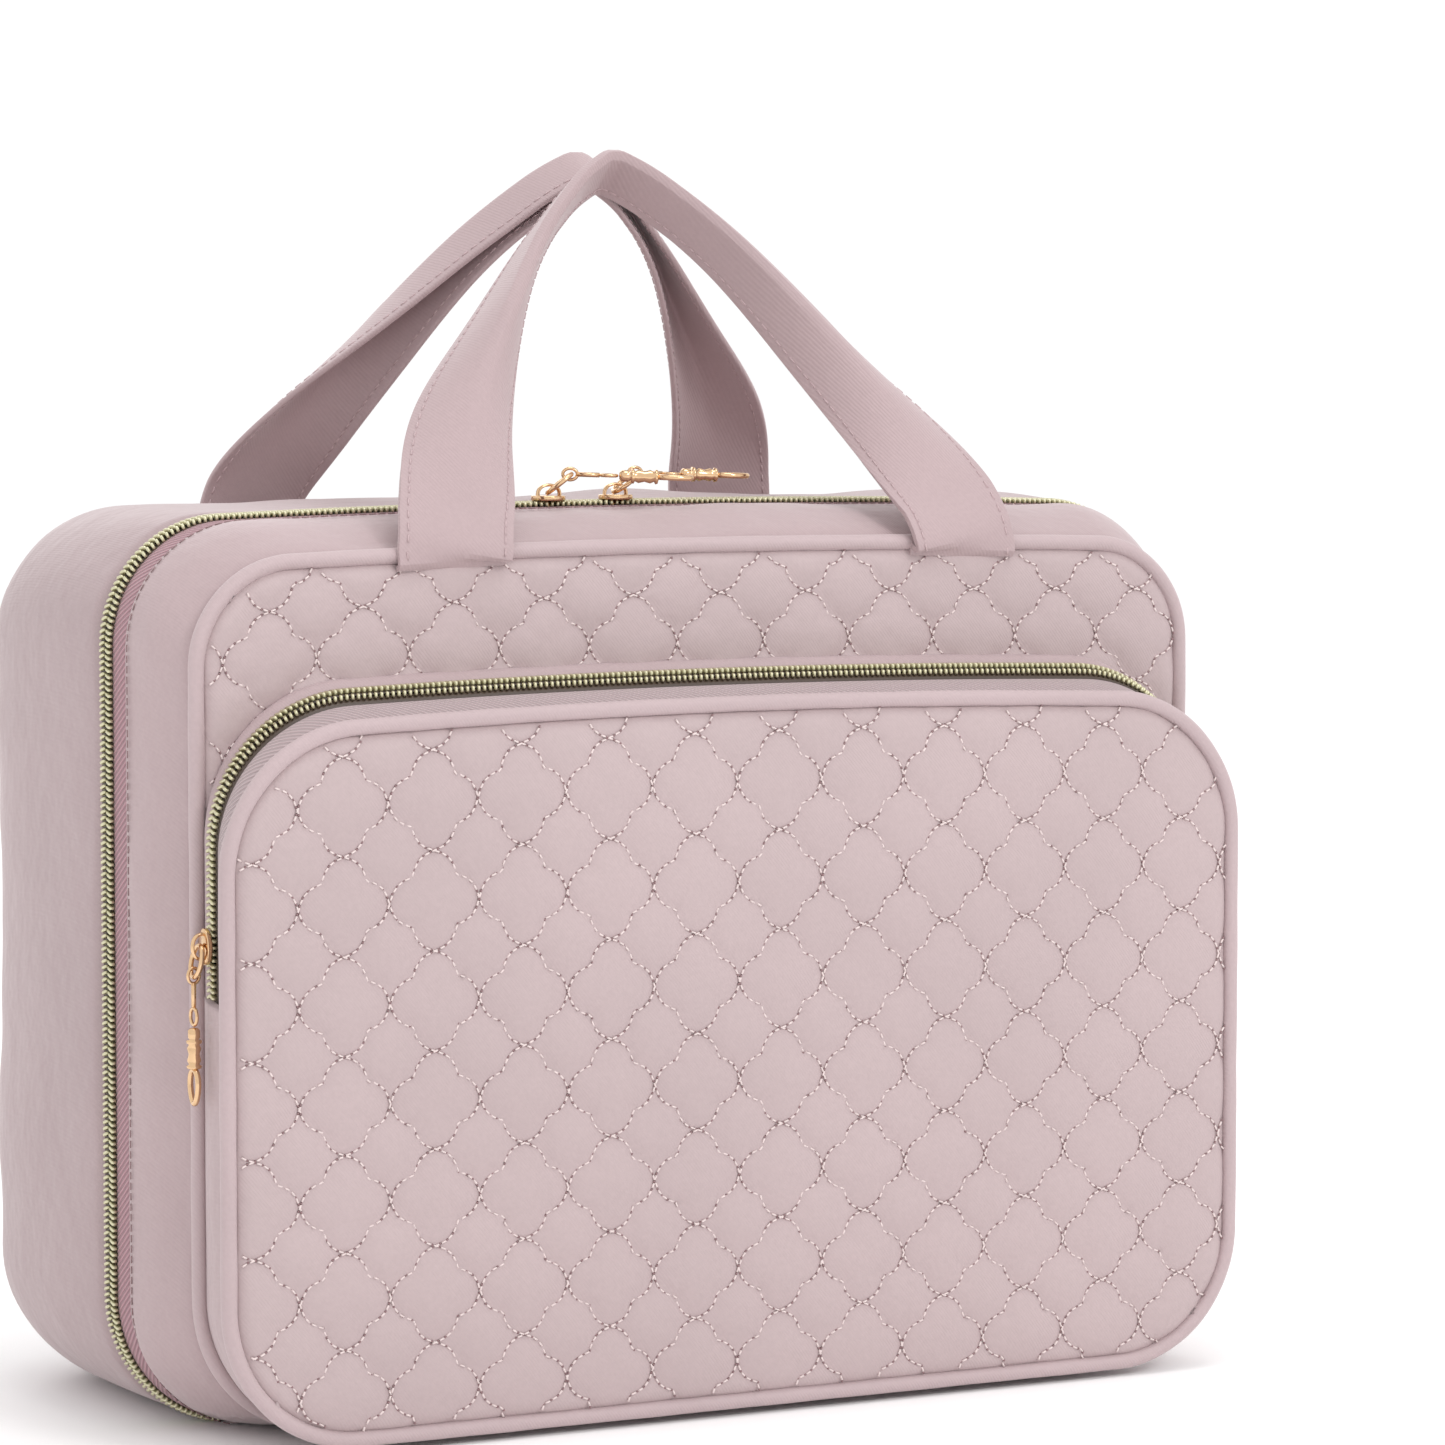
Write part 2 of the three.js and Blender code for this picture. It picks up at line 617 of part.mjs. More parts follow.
// The pocket slider sits near the lower left end of its zip and its pull hangs down.
const POCKET_SLIDER_Z = 124.5;
const pocketSlider = new THREE.Group();
pocketSlider.position.set(-POCKET_BACK.half - 0.9, POCKET_ZIP_Y, POCKET_SLIDER_Z);
pocketSlider.rotation.set(0, radians(-90), 0);
frontHalf.add(pocketSlider);
place('pocket_slider', sliderGeometry(9, 6.6), gold, pocketSlider);
const pocketPivot = new THREE.Group();
pocketPivot.position.set(0, 0, 3.4);
pocketPivot.rotation.set(0, 0, Math.PI);
pocketSlider.add(pocketPivot);
addPull('pocket', pocketPivot, new THREE.Euler(0, radians(-12), 0), new THREE.Euler(0, radians(12), 0));

// The mesh pocket's slider has a plain flat pull.
const innerSlider = new THREE.Group();
innerSlider.position.set(-118, MESH_Y, 164.3);
innerSlider.rotation.set(radians(-90), 0, 0);
frontHalf.add(innerSlider);
place('inner_slider', box(-4, 4, -3.4, 3.4, 1.2, 2.4), gunmetal, innerSlider);
place('inner_pull', box(-0.7, 19, -2, 2, 2.8, 4), gunmetal, innerSlider);

export default bag;
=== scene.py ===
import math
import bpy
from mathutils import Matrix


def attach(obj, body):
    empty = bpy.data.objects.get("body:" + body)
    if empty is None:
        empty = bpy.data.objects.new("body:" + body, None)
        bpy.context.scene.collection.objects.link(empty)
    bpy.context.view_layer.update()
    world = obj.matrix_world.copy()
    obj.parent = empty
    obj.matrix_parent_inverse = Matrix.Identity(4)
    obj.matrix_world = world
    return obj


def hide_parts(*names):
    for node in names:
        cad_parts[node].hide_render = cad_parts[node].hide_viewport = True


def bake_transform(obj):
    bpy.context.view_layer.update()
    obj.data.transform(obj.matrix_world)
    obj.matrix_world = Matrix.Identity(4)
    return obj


bl_info = {
    "name": "Quilted Make-up Bag",
    "version": (1, 0, 0),
    "blender": (4, 5, 0),
    "location": "View3D > Sidebar > Make-up Bag",
    "description": "Builds a quilted travel make-up bag on its CAD frame",
    "category": "Object",
}

import bmesh
import bpy
import numpy as np
from mathutils import Euler, Matrix, Vector, noise

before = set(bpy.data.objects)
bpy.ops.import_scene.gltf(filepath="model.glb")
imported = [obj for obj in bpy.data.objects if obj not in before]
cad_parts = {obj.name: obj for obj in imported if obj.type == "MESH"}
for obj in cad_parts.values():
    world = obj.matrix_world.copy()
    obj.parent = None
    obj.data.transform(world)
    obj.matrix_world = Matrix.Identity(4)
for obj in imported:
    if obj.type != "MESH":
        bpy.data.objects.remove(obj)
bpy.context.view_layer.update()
MM = 0.001

# Depth stations of the bag, front to back, in millimetres.
POCKET_Y = -77.0
POCKET_ZIP_Y = -63.0
PANEL_Y = -54.0
ZIP_Y = -21.0

# Outlines: half width, bottom, top, top corner, bottom corner, rise of the top's middle.
BODY = (150.0, 0.0, 225.0, 30.0, 34.0, 3.0)
PANEL = (140.0, 3.8, 215.5, 25.0, 33.0, 2.7)
POCKET = (142.0, 3.8, 175.5, 34.0, 34.0, 4.0)
POCKET_BACK = (139.0, 4.4, 186.0, 36.0, 33.0, 3.5)

# Depth, half width, bottom and top of the body's outline there.
FULLNESS = np.array(
    [
        (-54, 140, 3.8, 217),
        (-46, 142.5, 2.4, 219.4),
        (-38, 145.4, 1, 222),
        (-29.5, 148.2, 0.2, 224.2),
        (-21, 150, 0, 225),
        (-8, 152.5, 0, 225.6),
        (16, 154, 0, 226),
        (40, 153, 0, 225.3),
        (54, 150, 1.4, 222.4),
        (66, 144, 6, 216),
        (75, 135, 14, 207),
        (81, 122, 27, 194),
    ],
    float,
)


# ---------------------------------------------------------------- settings
def linear(hex_code):
    """An sRGB hex colour as linear red, green, blue and alpha."""
    out = []
    for i in (0, 2, 4):
        c = int(hex_code[i : i + 2], 16) / 255
        out.append(c / 12.92 if c <= 0.04045 else ((c + 0.055) / 1.055) ** 2.4)
    return (*out, 1.0)


def colour(name, hex_code, words):
    return bpy.props.FloatVectorProperty(
        name=name, description=words, default=linear(hex_code), size=4, subtype="COLOR", min=0, max=1
    )


def length(name, default, words):
    return bpy.props.FloatProperty(name=name, description=words, default=default * MM, unit="LENGTH")


class BagSizes(bpy.types.PropertyGroup):
    """Sizes of the soft and metal trim."""

    quilt_pitch: length("Quilt Pitch", 23.8, "Height of one pair of quilted cells")
    quilt_puff: length("Quilt Puff", 1.9, "How far each quilted cell stands out")
    stitch_pitch: length("Stitch Pitch", 2.05, "Length of one stitch and the gap after it")
    tooth_pitch: length("Tooth Pitch", 1.54, "Spacing of the zip teeth")
    piping: length("Piping", 4.0, "Width of the covered cord")
    strap: length("Strap", 30.0, "Width of the handle strap laid flat")


class BagColours(bpy.types.PropertyGroup):
    """Colours of the cloth and metal."""

    quilt: colour("Quilt", "b9a6a7", "Quilted panels")
    shell: colour("Shell", "b39ea0", "Padded sides and back")
    piping: colour("Piping", "baa6a8", "Covered cord")
    strap: colour("Strap", "b29c9e", "Outside of the handle straps")
    tape: colour("Tape", "b48c94", "Herringbone zip tape")
    lining: colour("Lining", "a5917d", "Satin lining")
    coil: colour("Coil", "d9d5b6", "Metallised zip teeth")
    gold: colour("Gold", "e4bf96", "Rose gold sliders and pulls")


def sizes():
    return bpy.context.scene.bag_sizes


def colours():
    return bpy.context.scene.bag_colours


# ---------------------------------------------------------------- materials
def add(tree, kind, settings=None, **links):
    """Adds a node, sets its values and links its inputs by socket name."""
    node = tree.nodes.new(kind)
    for key, value in (settings or {}).items():
        if key in node.inputs and not hasattr(node, key):
            node.inputs[key].default_value = value
        else:
            setattr(node, key, value)
    for key, source in links.items():
        tree.links.new(source, node.inputs[key.replace("_", " ")])
    return node


def blank(name):
    """A material with only a surface shader; returns it, its tree and the shader."""
    material = bpy.data.materials.new(name)
    material.use_nodes = True
    tree = material.node_tree
    shader = next(n for n in tree.nodes if n.type == "BSDF_PRINCIPLED")
    return material, tree, shader


def mixed(tree, factor, one, two):
    """A colour between two, by a factor socket."""
    mix = tree.nodes.new("ShaderNodeMix")
    mix.data_type = "RGBA"
    tree.links.new(factor, mix.inputs[0])
    for socket, value in ((mix.inputs[6], one), (mix.inputs[7], two)):
        if hasattr(value, "links"):
            tree.links.new(value, socket)
        else:
            socket.default_value = value
    return mix.outputs[2]


def shade(rgba, factor):
    return (rgba[0] * factor, rgba[1] * factor, rgba[2] * factor, 1.0)


def cloth(name, rgba, thread_mm=0.7, rough=0.62, sheen=0.35, crumple=0.35, depth=0.25):
    """Peach-skin polyester twill: matt, faintly crumpled, with a pale bloom at grazing angles."""
    material, tree, shader = blank(name)
    place = add(tree, "ShaderNodeTexCoord").outputs["Object"]
    broad = add(tree, "ShaderNodeTexNoise", {"Scale": 14.0, "Detail": 3.0}, Vector=place)
    fine = add(tree, "ShaderNodeTexNoise", {"Scale": 900.0, "Detail": 2.0}, Vector=place)
    soft = add(tree, "ShaderNodeMapRange", {"To Min": 0.0, "To Max": 1.0, "From Min": 0.3, "From Max": 0.7},
               Value=broad.outputs["Fac"])
    toned = mixed(tree, soft.outputs[0], shade(rgba, 0.955), shade(rgba, 1.03))
    speck = add(tree, "ShaderNodeMapRange", {"From Min": 0.35, "From Max": 0.65, "To Max": 0.16},
                Value=fine.outputs["Fac"])
    base = mixed(tree, speck.outputs[0], toned, shade(rgba, 0.78))
    tree.links.new(base, shader.inputs["Base Color"])
    turned = add(tree, "ShaderNodeMapping", {"Rotation": (0.0, math.radians(38), 0.0)}, Vector=place)
    ribs = add(tree, "ShaderNodeTexWave",
               {"Scale": 0.314 / (thread_mm * MM), "Distortion": 1.2, "Detail": 1.0, "bands_direction": "X"},
               Vector=turned.outputs[0])
    folds = add(tree, "ShaderNodeTexNoise", {"Scale": 55.0, "Detail": 3.0, "Roughness": 0.6}, Vector=place)
    crush = add(tree, "ShaderNodeBump", {"Strength": crumple, "Distance": 0.0022},
                Height=folds.outputs["Fac"])
    weave = add(tree, "ShaderNodeBump", {"Strength": depth, "Distance": 0.00012}, Height=ribs.outputs["Fac"],
                Normal=crush.outputs[0])
    tree.links.new(weave.outputs[0], shader.inputs["Normal"])
    shader.inputs["Roughness"].default_value = rough
    shader.inputs["Sheen Weight"].default_value = sheen
    shader.inputs["Sheen Roughness"].default_value = 0.45
    shader.inputs["Sheen Tint"].default_value = (1.0, 0.93, 0.93, 1.0)
    return material


def herringbone(name, rgba, low=0.66):
    """Woven zip tape: slanted ribs 1.3 mm apart, bumped, with the light they catch on one side and the shade
    on the other painted into the colour as light and dark stripes.
    """
    material, tree, shader = blank(name)
    place = add(tree, "ShaderNodeTexCoord").outputs["UV"]
    turned = add(tree, "ShaderNodeMapping", {"Rotation": (0.0, 0.0, math.radians(36))}, Vector=place)
    ribs = add(tree, "ShaderNodeTexWave",
               {"Scale": 0.314 / (1.3 * MM), "Distortion": 0.4, "bands_direction": "X"},
               Vector=turned.outputs[0])
    # painted highlight and shade: the colour runs from dark (times low) to light across each rib
    base = mixed(tree, ribs.outputs["Fac"], shade(rgba, low), shade(rgba, 1.08))
    tree.links.new(base, shader.inputs["Base Color"])
    bump = add(tree, "ShaderNodeBump", {"Strength": 0.8, "Distance": 0.0004}, Height=ribs.outputs["Fac"])
    tree.links.new(bump.outputs[0], shader.inputs["Normal"])
    shader.inputs["Roughness"].default_value = 0.8
    shader.inputs["Sheen Weight"].default_value = 0.2
    return material


def satin_cloth(name, rgba):
    """Satin-weave lining: smooth floats that give long soft highlights along the puckers, painted into the
    colour as lighter and darker bands by the pucker noise, which also drives the bump.
    """
    material, tree, shader = blank(name)
    place = add(tree, "ShaderNodeTexCoord").outputs["Object"]
    stretched = add(tree, "ShaderNodeMapping", {"Scale": (1.0, 1.0, 0.25)}, Vector=place)
    pucker = add(tree, "ShaderNodeTexNoise", {"Scale": 60.0, "Detail": 3.0}, Vector=stretched.outputs[0])
    threads = add(tree, "ShaderNodeTexWave", {"Scale": 0.314 / (0.6 * MM), "Distortion": 1.0}, Vector=place)
    # painted highlight and shade: the colour lightens and darkens along the puckers
    base = mixed(tree, pucker.outputs["Fac"], shade(rgba, 0.82), shade(rgba, 1.15))
    tree.links.new(base, shader.inputs["Base Color"])
    big = add(tree, "ShaderNodeBump", {"Strength": 0.5, "Distance": 0.003}, Height=pucker.outputs["Fac"])
    small = add(tree, "ShaderNodeBump", {"Strength": 0.15, "Distance": 0.0001}, Height=threads.outputs["Fac"],
                Normal=big.outputs[0])
    tree.links.new(small.outputs[0], shader.inputs["Normal"])
    shader.inputs["Roughness"].default_value = 0.42
    shader.inputs["Sheen Weight"].default_value = 0.3
    return material


def net(name, rgba):
    """Knitted mesh: a lattice of fine yarn with open holes 2 mm apart."""
    material, tree, shader = blank(name)
    place = add(tree, "ShaderNodeTexCoord").outputs["Object"]
    turned = add(tree, "ShaderNodeMapping", {"Rotation": (0.0, math.radians(45), 0.0)}, Vector=place)
    parts = []
    for axis in ("X", "Z"):
        wave = add(tree, "ShaderNodeTexWave", {"Scale": 0.314 / (1.6 * MM), "bands_direction": axis},
                   Vector=turned.outputs[0])
        parts.append(wave.outputs["Fac"])
    both = add(tree, "ShaderNodeMath", {"operation": "MAXIMUM"})
    tree.links.new(parts[0], both.inputs[0])
    tree.links.new(parts[1], both.inputs[1])
    yarn = add(tree, "ShaderNodeMapRange", {"From Min": 0.7, "From Max": 0.82, "To Min": 0.12, "To Max": 1.0},
               Value=both.outputs[0])
    tree.links.new(yarn.outputs[0], shader.inputs["Alpha"])
    shader.inputs["Base Color"].default_value = rgba
    shader.inputs["Roughness"].default_value = 0.7
    return material


def plated(name, rgba, rough=0.16):
    """Electroplated zinc alloy: mirror bright, with faint handling marks."""
    material, tree, shader = blank(name)
    place = add(tree, "ShaderNodeTexCoord").outputs["Object"]
    marks = add(tree, "ShaderNodeTexNoise", {"Scale": 700.0, "Detail": 3.0}, Vector=place)
    dull = add(tree, "ShaderNodeMapRange", {"To Min": rough * 0.7, "To Max": rough * 1.7},
               Value=marks.outputs["Fac"])
    base = mixed(tree, marks.outputs["Fac"], shade(rgba, 0.86), shade(rgba, 1.08))
    tree.links.new(base, shader.inputs["Base Color"])
    tree.links.new(dull.outputs[0], shader.inputs["Roughness"])
    shader.inputs["Metallic"].default_value = 1.0
    return material


def film(name):
    """Soft PVC film: clear, glossy and slightly wavy."""
    material, tree, shader = blank(name)
    place = add(tree, "ShaderNodeTexCoord").outputs["Object"]
    waves = add(tree, "ShaderNodeTexNoise", {"Scale": 18.0, "Detail": 1.0}, Vector=place)
    bump = add(tree, "ShaderNodeBump", {"Strength": 0.4, "Distance": 0.004}, Height=waves.outputs["Fac"])
    tree.links.new(bump.outputs[0], shader.inputs["Normal"])
    shader.inputs["Base Color"].default_value = linear("f4f6f6")
    shader.inputs["Roughness"].default_value = 0.06
    shader.inputs["IOR"].default_value = 1.52
    shader.inputs["Alpha"].default_value = 0.22
    return material


def thread(name, rgba):
    """Twisted polyester sewing thread: smooth enough for a small bright glint on each stitch."""
    material, tree, shader = blank(name)
    place = add(tree, "ShaderNodeTexCoord").outputs["Object"]
    twist = add(tree, "ShaderNodeTexNoise", {"Scale": 1500.0}, Vector=place)
    base = mixed(tree, twist.outputs["Fac"], shade(rgba, 0.88), shade(rgba, 1.1))
    tree.links.new(base, shader.inputs["Base Color"])
    shader.inputs["Roughness"].default_value = 0.4
    return material


MATERIALS = {}


def look(name):
    """The material of that name, made once."""
    if name not in MATERIALS:
        c = colours()
        makers = {
            "quilted_twill": lambda: cloth(name, c.quilt, crumple=0.42),
            "padded_twill": lambda: cloth(name, c.shell, crumple=0.6),
            # the back: the shell colour made 9% darker, painted shade on the same cloth as the sides
            "back_twill_painted_shade": lambda: cloth(name, shade(c.shell, 0.91), crumple=0.6),
            "piping_twill": lambda: cloth(name, c.piping, crumple=0.18),
            "strap_twill": lambda: cloth(name, c.strap, crumple=0.2, thread_mm=0.8, depth=0.35),
            "zip_tape": lambda: herringbone(name, c.tape),
            "pocket_tape": lambda: herringbone(name, shade(c.piping, 0.94), 0.8),
            "satin_lining": lambda: satin_cloth(name, c.lining),
            "satin_trim": lambda: satin_cloth(name, linear("b39f8a")),
            "knitted_mesh": lambda: net(name, linear("cdbda6")),
            "gold_coil": lambda: plated(name, c.coil, 0.4),
            # a dark strip under the zip teeth: painted shade for the gaps between the teeth
            "painted_shade_strip": lambda: thread(name, linear("4a3c34")),
            "inner_coil": lambda: thread(name, linear("9c8a76")),
            "rose_gold": lambda: plated(name, c.gold, 0.13),
            "gunmetal": lambda: plated(name, linear("4a4a48"), 0.25),
            "clear_film": lambda: film(name),
            "pale_thread": lambda: thread(name, linear("e6d6d4")),
            "strap_thread": lambda: thread(name, shade(c.strap, 1.16)),
            # dark pits at the needle holes and the tape's top-stitching: painted shade
            "needle_hole_shade": lambda: thread(name, linear("8d7072")),
        }
        MATERIALS[name] = makers[name]()
    return MATERIALS[name]


# ---------------------------------------------------------------- shapes
def profile_table():
    """The fullness list drawn as one smooth curve, as a dense table."""
    t = np.arange(len(FULLNESS))
    fine = np.linspace(0, len(FULLNESS) - 1, 400)
    out = []
    for column in FULLNESS.T:
        slopes = np.gradient(column)
        i = np.clip(fine.astype(int), 0, len(t) - 2)
        s = fine - i
        out.append(
            column[i] * (2 * s**3 - 3 * s**2 + 1)
            + slopes[i] * (s**3 - 2 * s**2 + s)
            + column[i + 1] * (-2 * s**3 + 3 * s**2)
            + slopes[i + 1] * (s**3 - s**2)
        )
    return out


PROFILE = profile_table()


def outline(size, inset=0.0, count=400):
    """A rounded outline as even points with outward directions, from the bottom's middle towards +X."""
    half, bottom, top, top_corner, bottom_corner, crown = size
    high = (bottom + top) / 2
    half, bottom, top = half - inset, bottom + inset, top - inset
    rt, rb = max(top_corner - inset, 2.0), max(bottom_corner - inset, 2.0)
    pieces = [np.array([(x, bottom) for x in np.linspace(0, half - rb, 30)])]
    for cx, cz, r, start in (
        (half - rb, bottom + rb, rb, -90),
        (half - rt, top - rt, rt, 0),
        (rt - half, top - rt, rt, 90),
        (rb - half, bottom + rb, rb, 180),
    ):
        a = np.radians(np.linspace(start, start + 90, 30))
        pieces.append(np.stack([cx + r * np.cos(a), cz + r * np.sin(a)], 1))
        if start == 0:
            pieces.append(np.array([(x, top) for x in np.linspace(half - rt, rt - half, 60)[1:-1]]))
    pieces.append(np.array([(x, bottom) for x in np.linspace(rb - half, 0, 30)]))
    points = np.concatenate(pieces)
    lift = np.clip((points[:, 1] - high) / (top - high), 0, None)
    points[:, 1] += crown * lift * (1 - (points[:, 0] / half) ** 2)
    step = np.hypot(*np.diff(points, axis=0).T)
    points = points[np.concatenate([[True], step > 1e-6])]
    step = np.hypot(*np.diff(points, axis=0).T)
    run = np.concatenate([[0], np.cumsum(step)])
    at = np.linspace(0, run[-1], count + 1)
    even = np.stack([np.interp(at, run, points[:, 0]), np.interp(at, run, points[:, 1])], 1)
    ahead = np.roll(even[:-1], -1, 0) - np.roll(even[:-1], 1, 0)
    ahead /= np.hypot(*ahead.T)[:, None]
    ahead = np.concatenate([ahead, ahead[:1]])
    return even, np.stack([ahead[:, 1], -ahead[:, 0]], 1), run[-1]


def sample(table, v):
    """Rows of a table that runs from 0 to 1, read in between."""
    at = np.clip(v, 0, 1) * (len(table) - 1)
    i = np.clip(at.astype(int), 0, len(table) - 2)
    s = (at - i)[:, None]
    return table[i] * (1 - s) + table[i + 1] * s


BODY_LINE, BODY_OUT, BODY_LENGTH = outline(BODY, 0, 800)


def body_point(y, v, proud=0.0):
    """Points on the body's surface at depth y, v of the way round, moved out by `proud`."""
    base = sample(BODY_LINE, v)
    out = sample(BODY_OUT, v)
    half, bottom, top = (np.interp(y, PROFILE[0], column) for column in PROFILE[1:])
    middle = 112.5
    x = base[:, 0] / 150 * half + out[:, 0] * proud
    up = middle + (base[:, 1] - middle) / 112.5 * (top - middle)
    down = middle - (middle - base[:, 1]) / 112.5 * (middle - bottom)
    z = np.where(base[:, 1] > middle, up, down) + out[:, 1] * proud
    return np.stack([x, np.broadcast_to(y, x.shape), z], 1)


def grain(points, scale, seed=0.0):
    """Smooth seeded noise, one value a point, with features of about `scale` millimetres."""
    return np.array([noise.noise(Vector(p) / scale + Vector((seed, seed * 0.7, 0))) for p in points])


def finish(name, mesh, material, body=None, smooth=True):
    """Links a finished mesh as a piece with its material, riding on a body."""
    piece = bpy.data.objects.new(name, mesh)
    bpy.context.scene.collection.objects.link(piece)
    mesh.materials.clear()
    mesh.materials.append(look(material))
    mesh.polygons.foreach_set("use_smooth", [smooth] * len(mesh.polygons))
    if body:
        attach(piece, body)
    return piece


def surface(name, across, along, place, cloth_mm=(1000.0, 1000.0), weld=False, flip=False):
    """A grid bent to shape: place(u, v) gives millimetre points; its UV map is in metres of cloth."""
    bm = bmesh.new()
    bm.loops.layers.uv.new("cloth")
    bmesh.ops.create_grid(bm, x_segments=across, y_segments=along, size=1, calc_uvs=True)
    mesh = bpy.data.meshes.new(name)
    bm.to_mesh(mesh)
    bm.free()
    co = np.zeros(len(mesh.vertices) * 3)
    mesh.vertices.foreach_get("co", co)
    co = co.reshape(-1, 3)
    points = place((co[:, 0] + 1) / 2, (co[:, 1] + 1) / 2) * MM
    mesh.vertices.foreach_set("co", points.ravel())
    layer = mesh.uv_layers[0].data
    uv = np.zeros(len(layer) * 2)
    layer.foreach_get("uv", uv)
    layer.foreach_set("uv", (uv.reshape(-1, 2) * np.array(cloth_mm) * MM).ravel())
    if weld or flip:
        bm = bmesh.new()
        bm.from_mesh(mesh)
        if weld:
            bmesh.ops.remove_doubles(bm, verts=bm.verts, dist=2e-6)
            bmesh.ops.recalc_face_normals(bm, faces=bm.faces)
        if flip:
            bmesh.ops.reverse_faces(bm, faces=bm.faces)
        bm.to_mesh(mesh)
        bm.free()
    mesh.update()
    return mesh


def thicken(piece, mm, offset=-1.0):
    """Gives a surface a wall, with a Solidify modifier."""
    wall = piece.modifiers.new("wall", "SOLIDIFY")
    wall.thickness = mm * MM
    wall.offset = offset
    wall.use_quality_normals = True
    return piece


def template(kind):
    """Small shapes that are repeated many times, a few dozen faces each, in millimetres."""
    bm = bmesh.new()
    if kind == "stitch":
        bmesh.ops.create_cone(bm, cap_ends=True, segments=6, radius1=0.5, radius2=0.5, depth=1)
        for vert in bm.verts:
            vert.co = Vector((vert.co.z, vert.co.x, vert.co.y))
        bmesh.ops.bevel(bm, geom=[e for e in bm.edges if abs(e.verts[0].co.x - e.verts[1].co.x) < 0.1],
                        affect="EDGES", offset=0.2, segments=1, profile=0.5, material=-1)
    elif kind == "hole":
        bmesh.ops.create_cone(bm, cap_ends=True, segments=6, radius1=0.5, radius2=0.3, depth=0.3)
    else:
        bmesh.ops.create_cube(bm, size=1)
        bmesh.ops.bevel(bm, geom=bm.edges[:], affect="EDGES", offset=0.26, segments=2, profile=0.5,
                        material=-1)
    mesh = bpy.data.meshes.new(kind)
    bmesh.ops.triangulate(bm, faces=bm.faces)
    bm.to_mesh(mesh)
    bm.free()
    return mesh


def scatter(name, kind, where):
    """One mesh holding a copy of a small shape at each (centre, along, out, size) in millimetres."""
    small = template(kind)
    shape = np.array([v.co for v in small.vertices])
    faces = np.array([p.vertices for p in small.polygons])
    centre, along, out, size = (np.array(x, float) for x in zip(*where))
    along /= np.linalg.norm(along, axis=1)[:, None]
    side = np.cross(out, along)
    side /= np.linalg.norm(side, axis=1)[:, None]
    out = np.cross(along, side)
    scaled = shape[None] * size[:, None]
    points = centre[:, None] + scaled[..., :1] * along[:, None] + scaled[..., 1:2] * side[:, None]
    points = (points + scaled[..., 2:] * out[:, None]).reshape(-1, 3) * MM
    index = (faces[None] + np.arange(len(where))[:, None, None] * len(shape)).reshape(-1, 3)
    mesh = bpy.data.meshes.new(name)
    mesh.from_pydata(points, [], index)
    bpy.data.meshes.remove(small)
    return mesh


# ---------------------------------------------------------------- quilting
SCALLOP = 0.078  # how far each seam's two bows swing, as a share of a cell


def seam_line(k, other):
    """Where seam number k runs, in cell units, at the crossing seams' coordinate `other`."""
    side = np.where((k + np.floor(other)) % 2 == 0, 1.0, -1.0)
    return k + side * SCALLOP * np.abs(np.sin(2 * np.pi * other))


def cell_height(p, q):
    """0 on the seams and 1 in the middle of each cell."""
    low_p = np.floor(p)
    low_p = np.where(p < seam_line(low_p, q), low_p - 1, low_p)
    low_p = np.where(p > seam_line(low_p + 1, q), low_p + 1, low_p)
    low_q = np.floor(q)
    low_q = np.where(q < seam_line(low_q, p), low_q - 1, low_q)
    low_q = np.where(q > seam_line(low_q + 1, p), low_q + 1, low_q)
    fp = (p - seam_line(low_p, q)) / (seam_line(low_p + 1, q) - seam_line(low_p, q))
    fq = (q - seam_line(low_q, p)) / (seam_line(low_q + 1, p) - seam_line(low_q, p))
    bowl = np.clip(16 * fp * (1 - fp) * fq * (1 - fq), 0, 1)
    return bowl**0.55


def edge_room(size, x, z, inset=0.0):
    """How far inside a rounded outline each point lies; negative is outside."""
    half, bottom, top, top_corner, bottom_corner, _ = size
    middle = (top + bottom) / 2
    r = np.where(z > middle, top_corner, bottom_corner)
    dx = np.abs(x) - (half - r)
    dz = np.abs(z - middle) - ((top - bottom) / 2 - r)
    outside = np.hypot(np.maximum(dx, 0), np.maximum(dz, 0)) + np.minimum(np.maximum(dx, dz), 0)
    return r - outside - inset


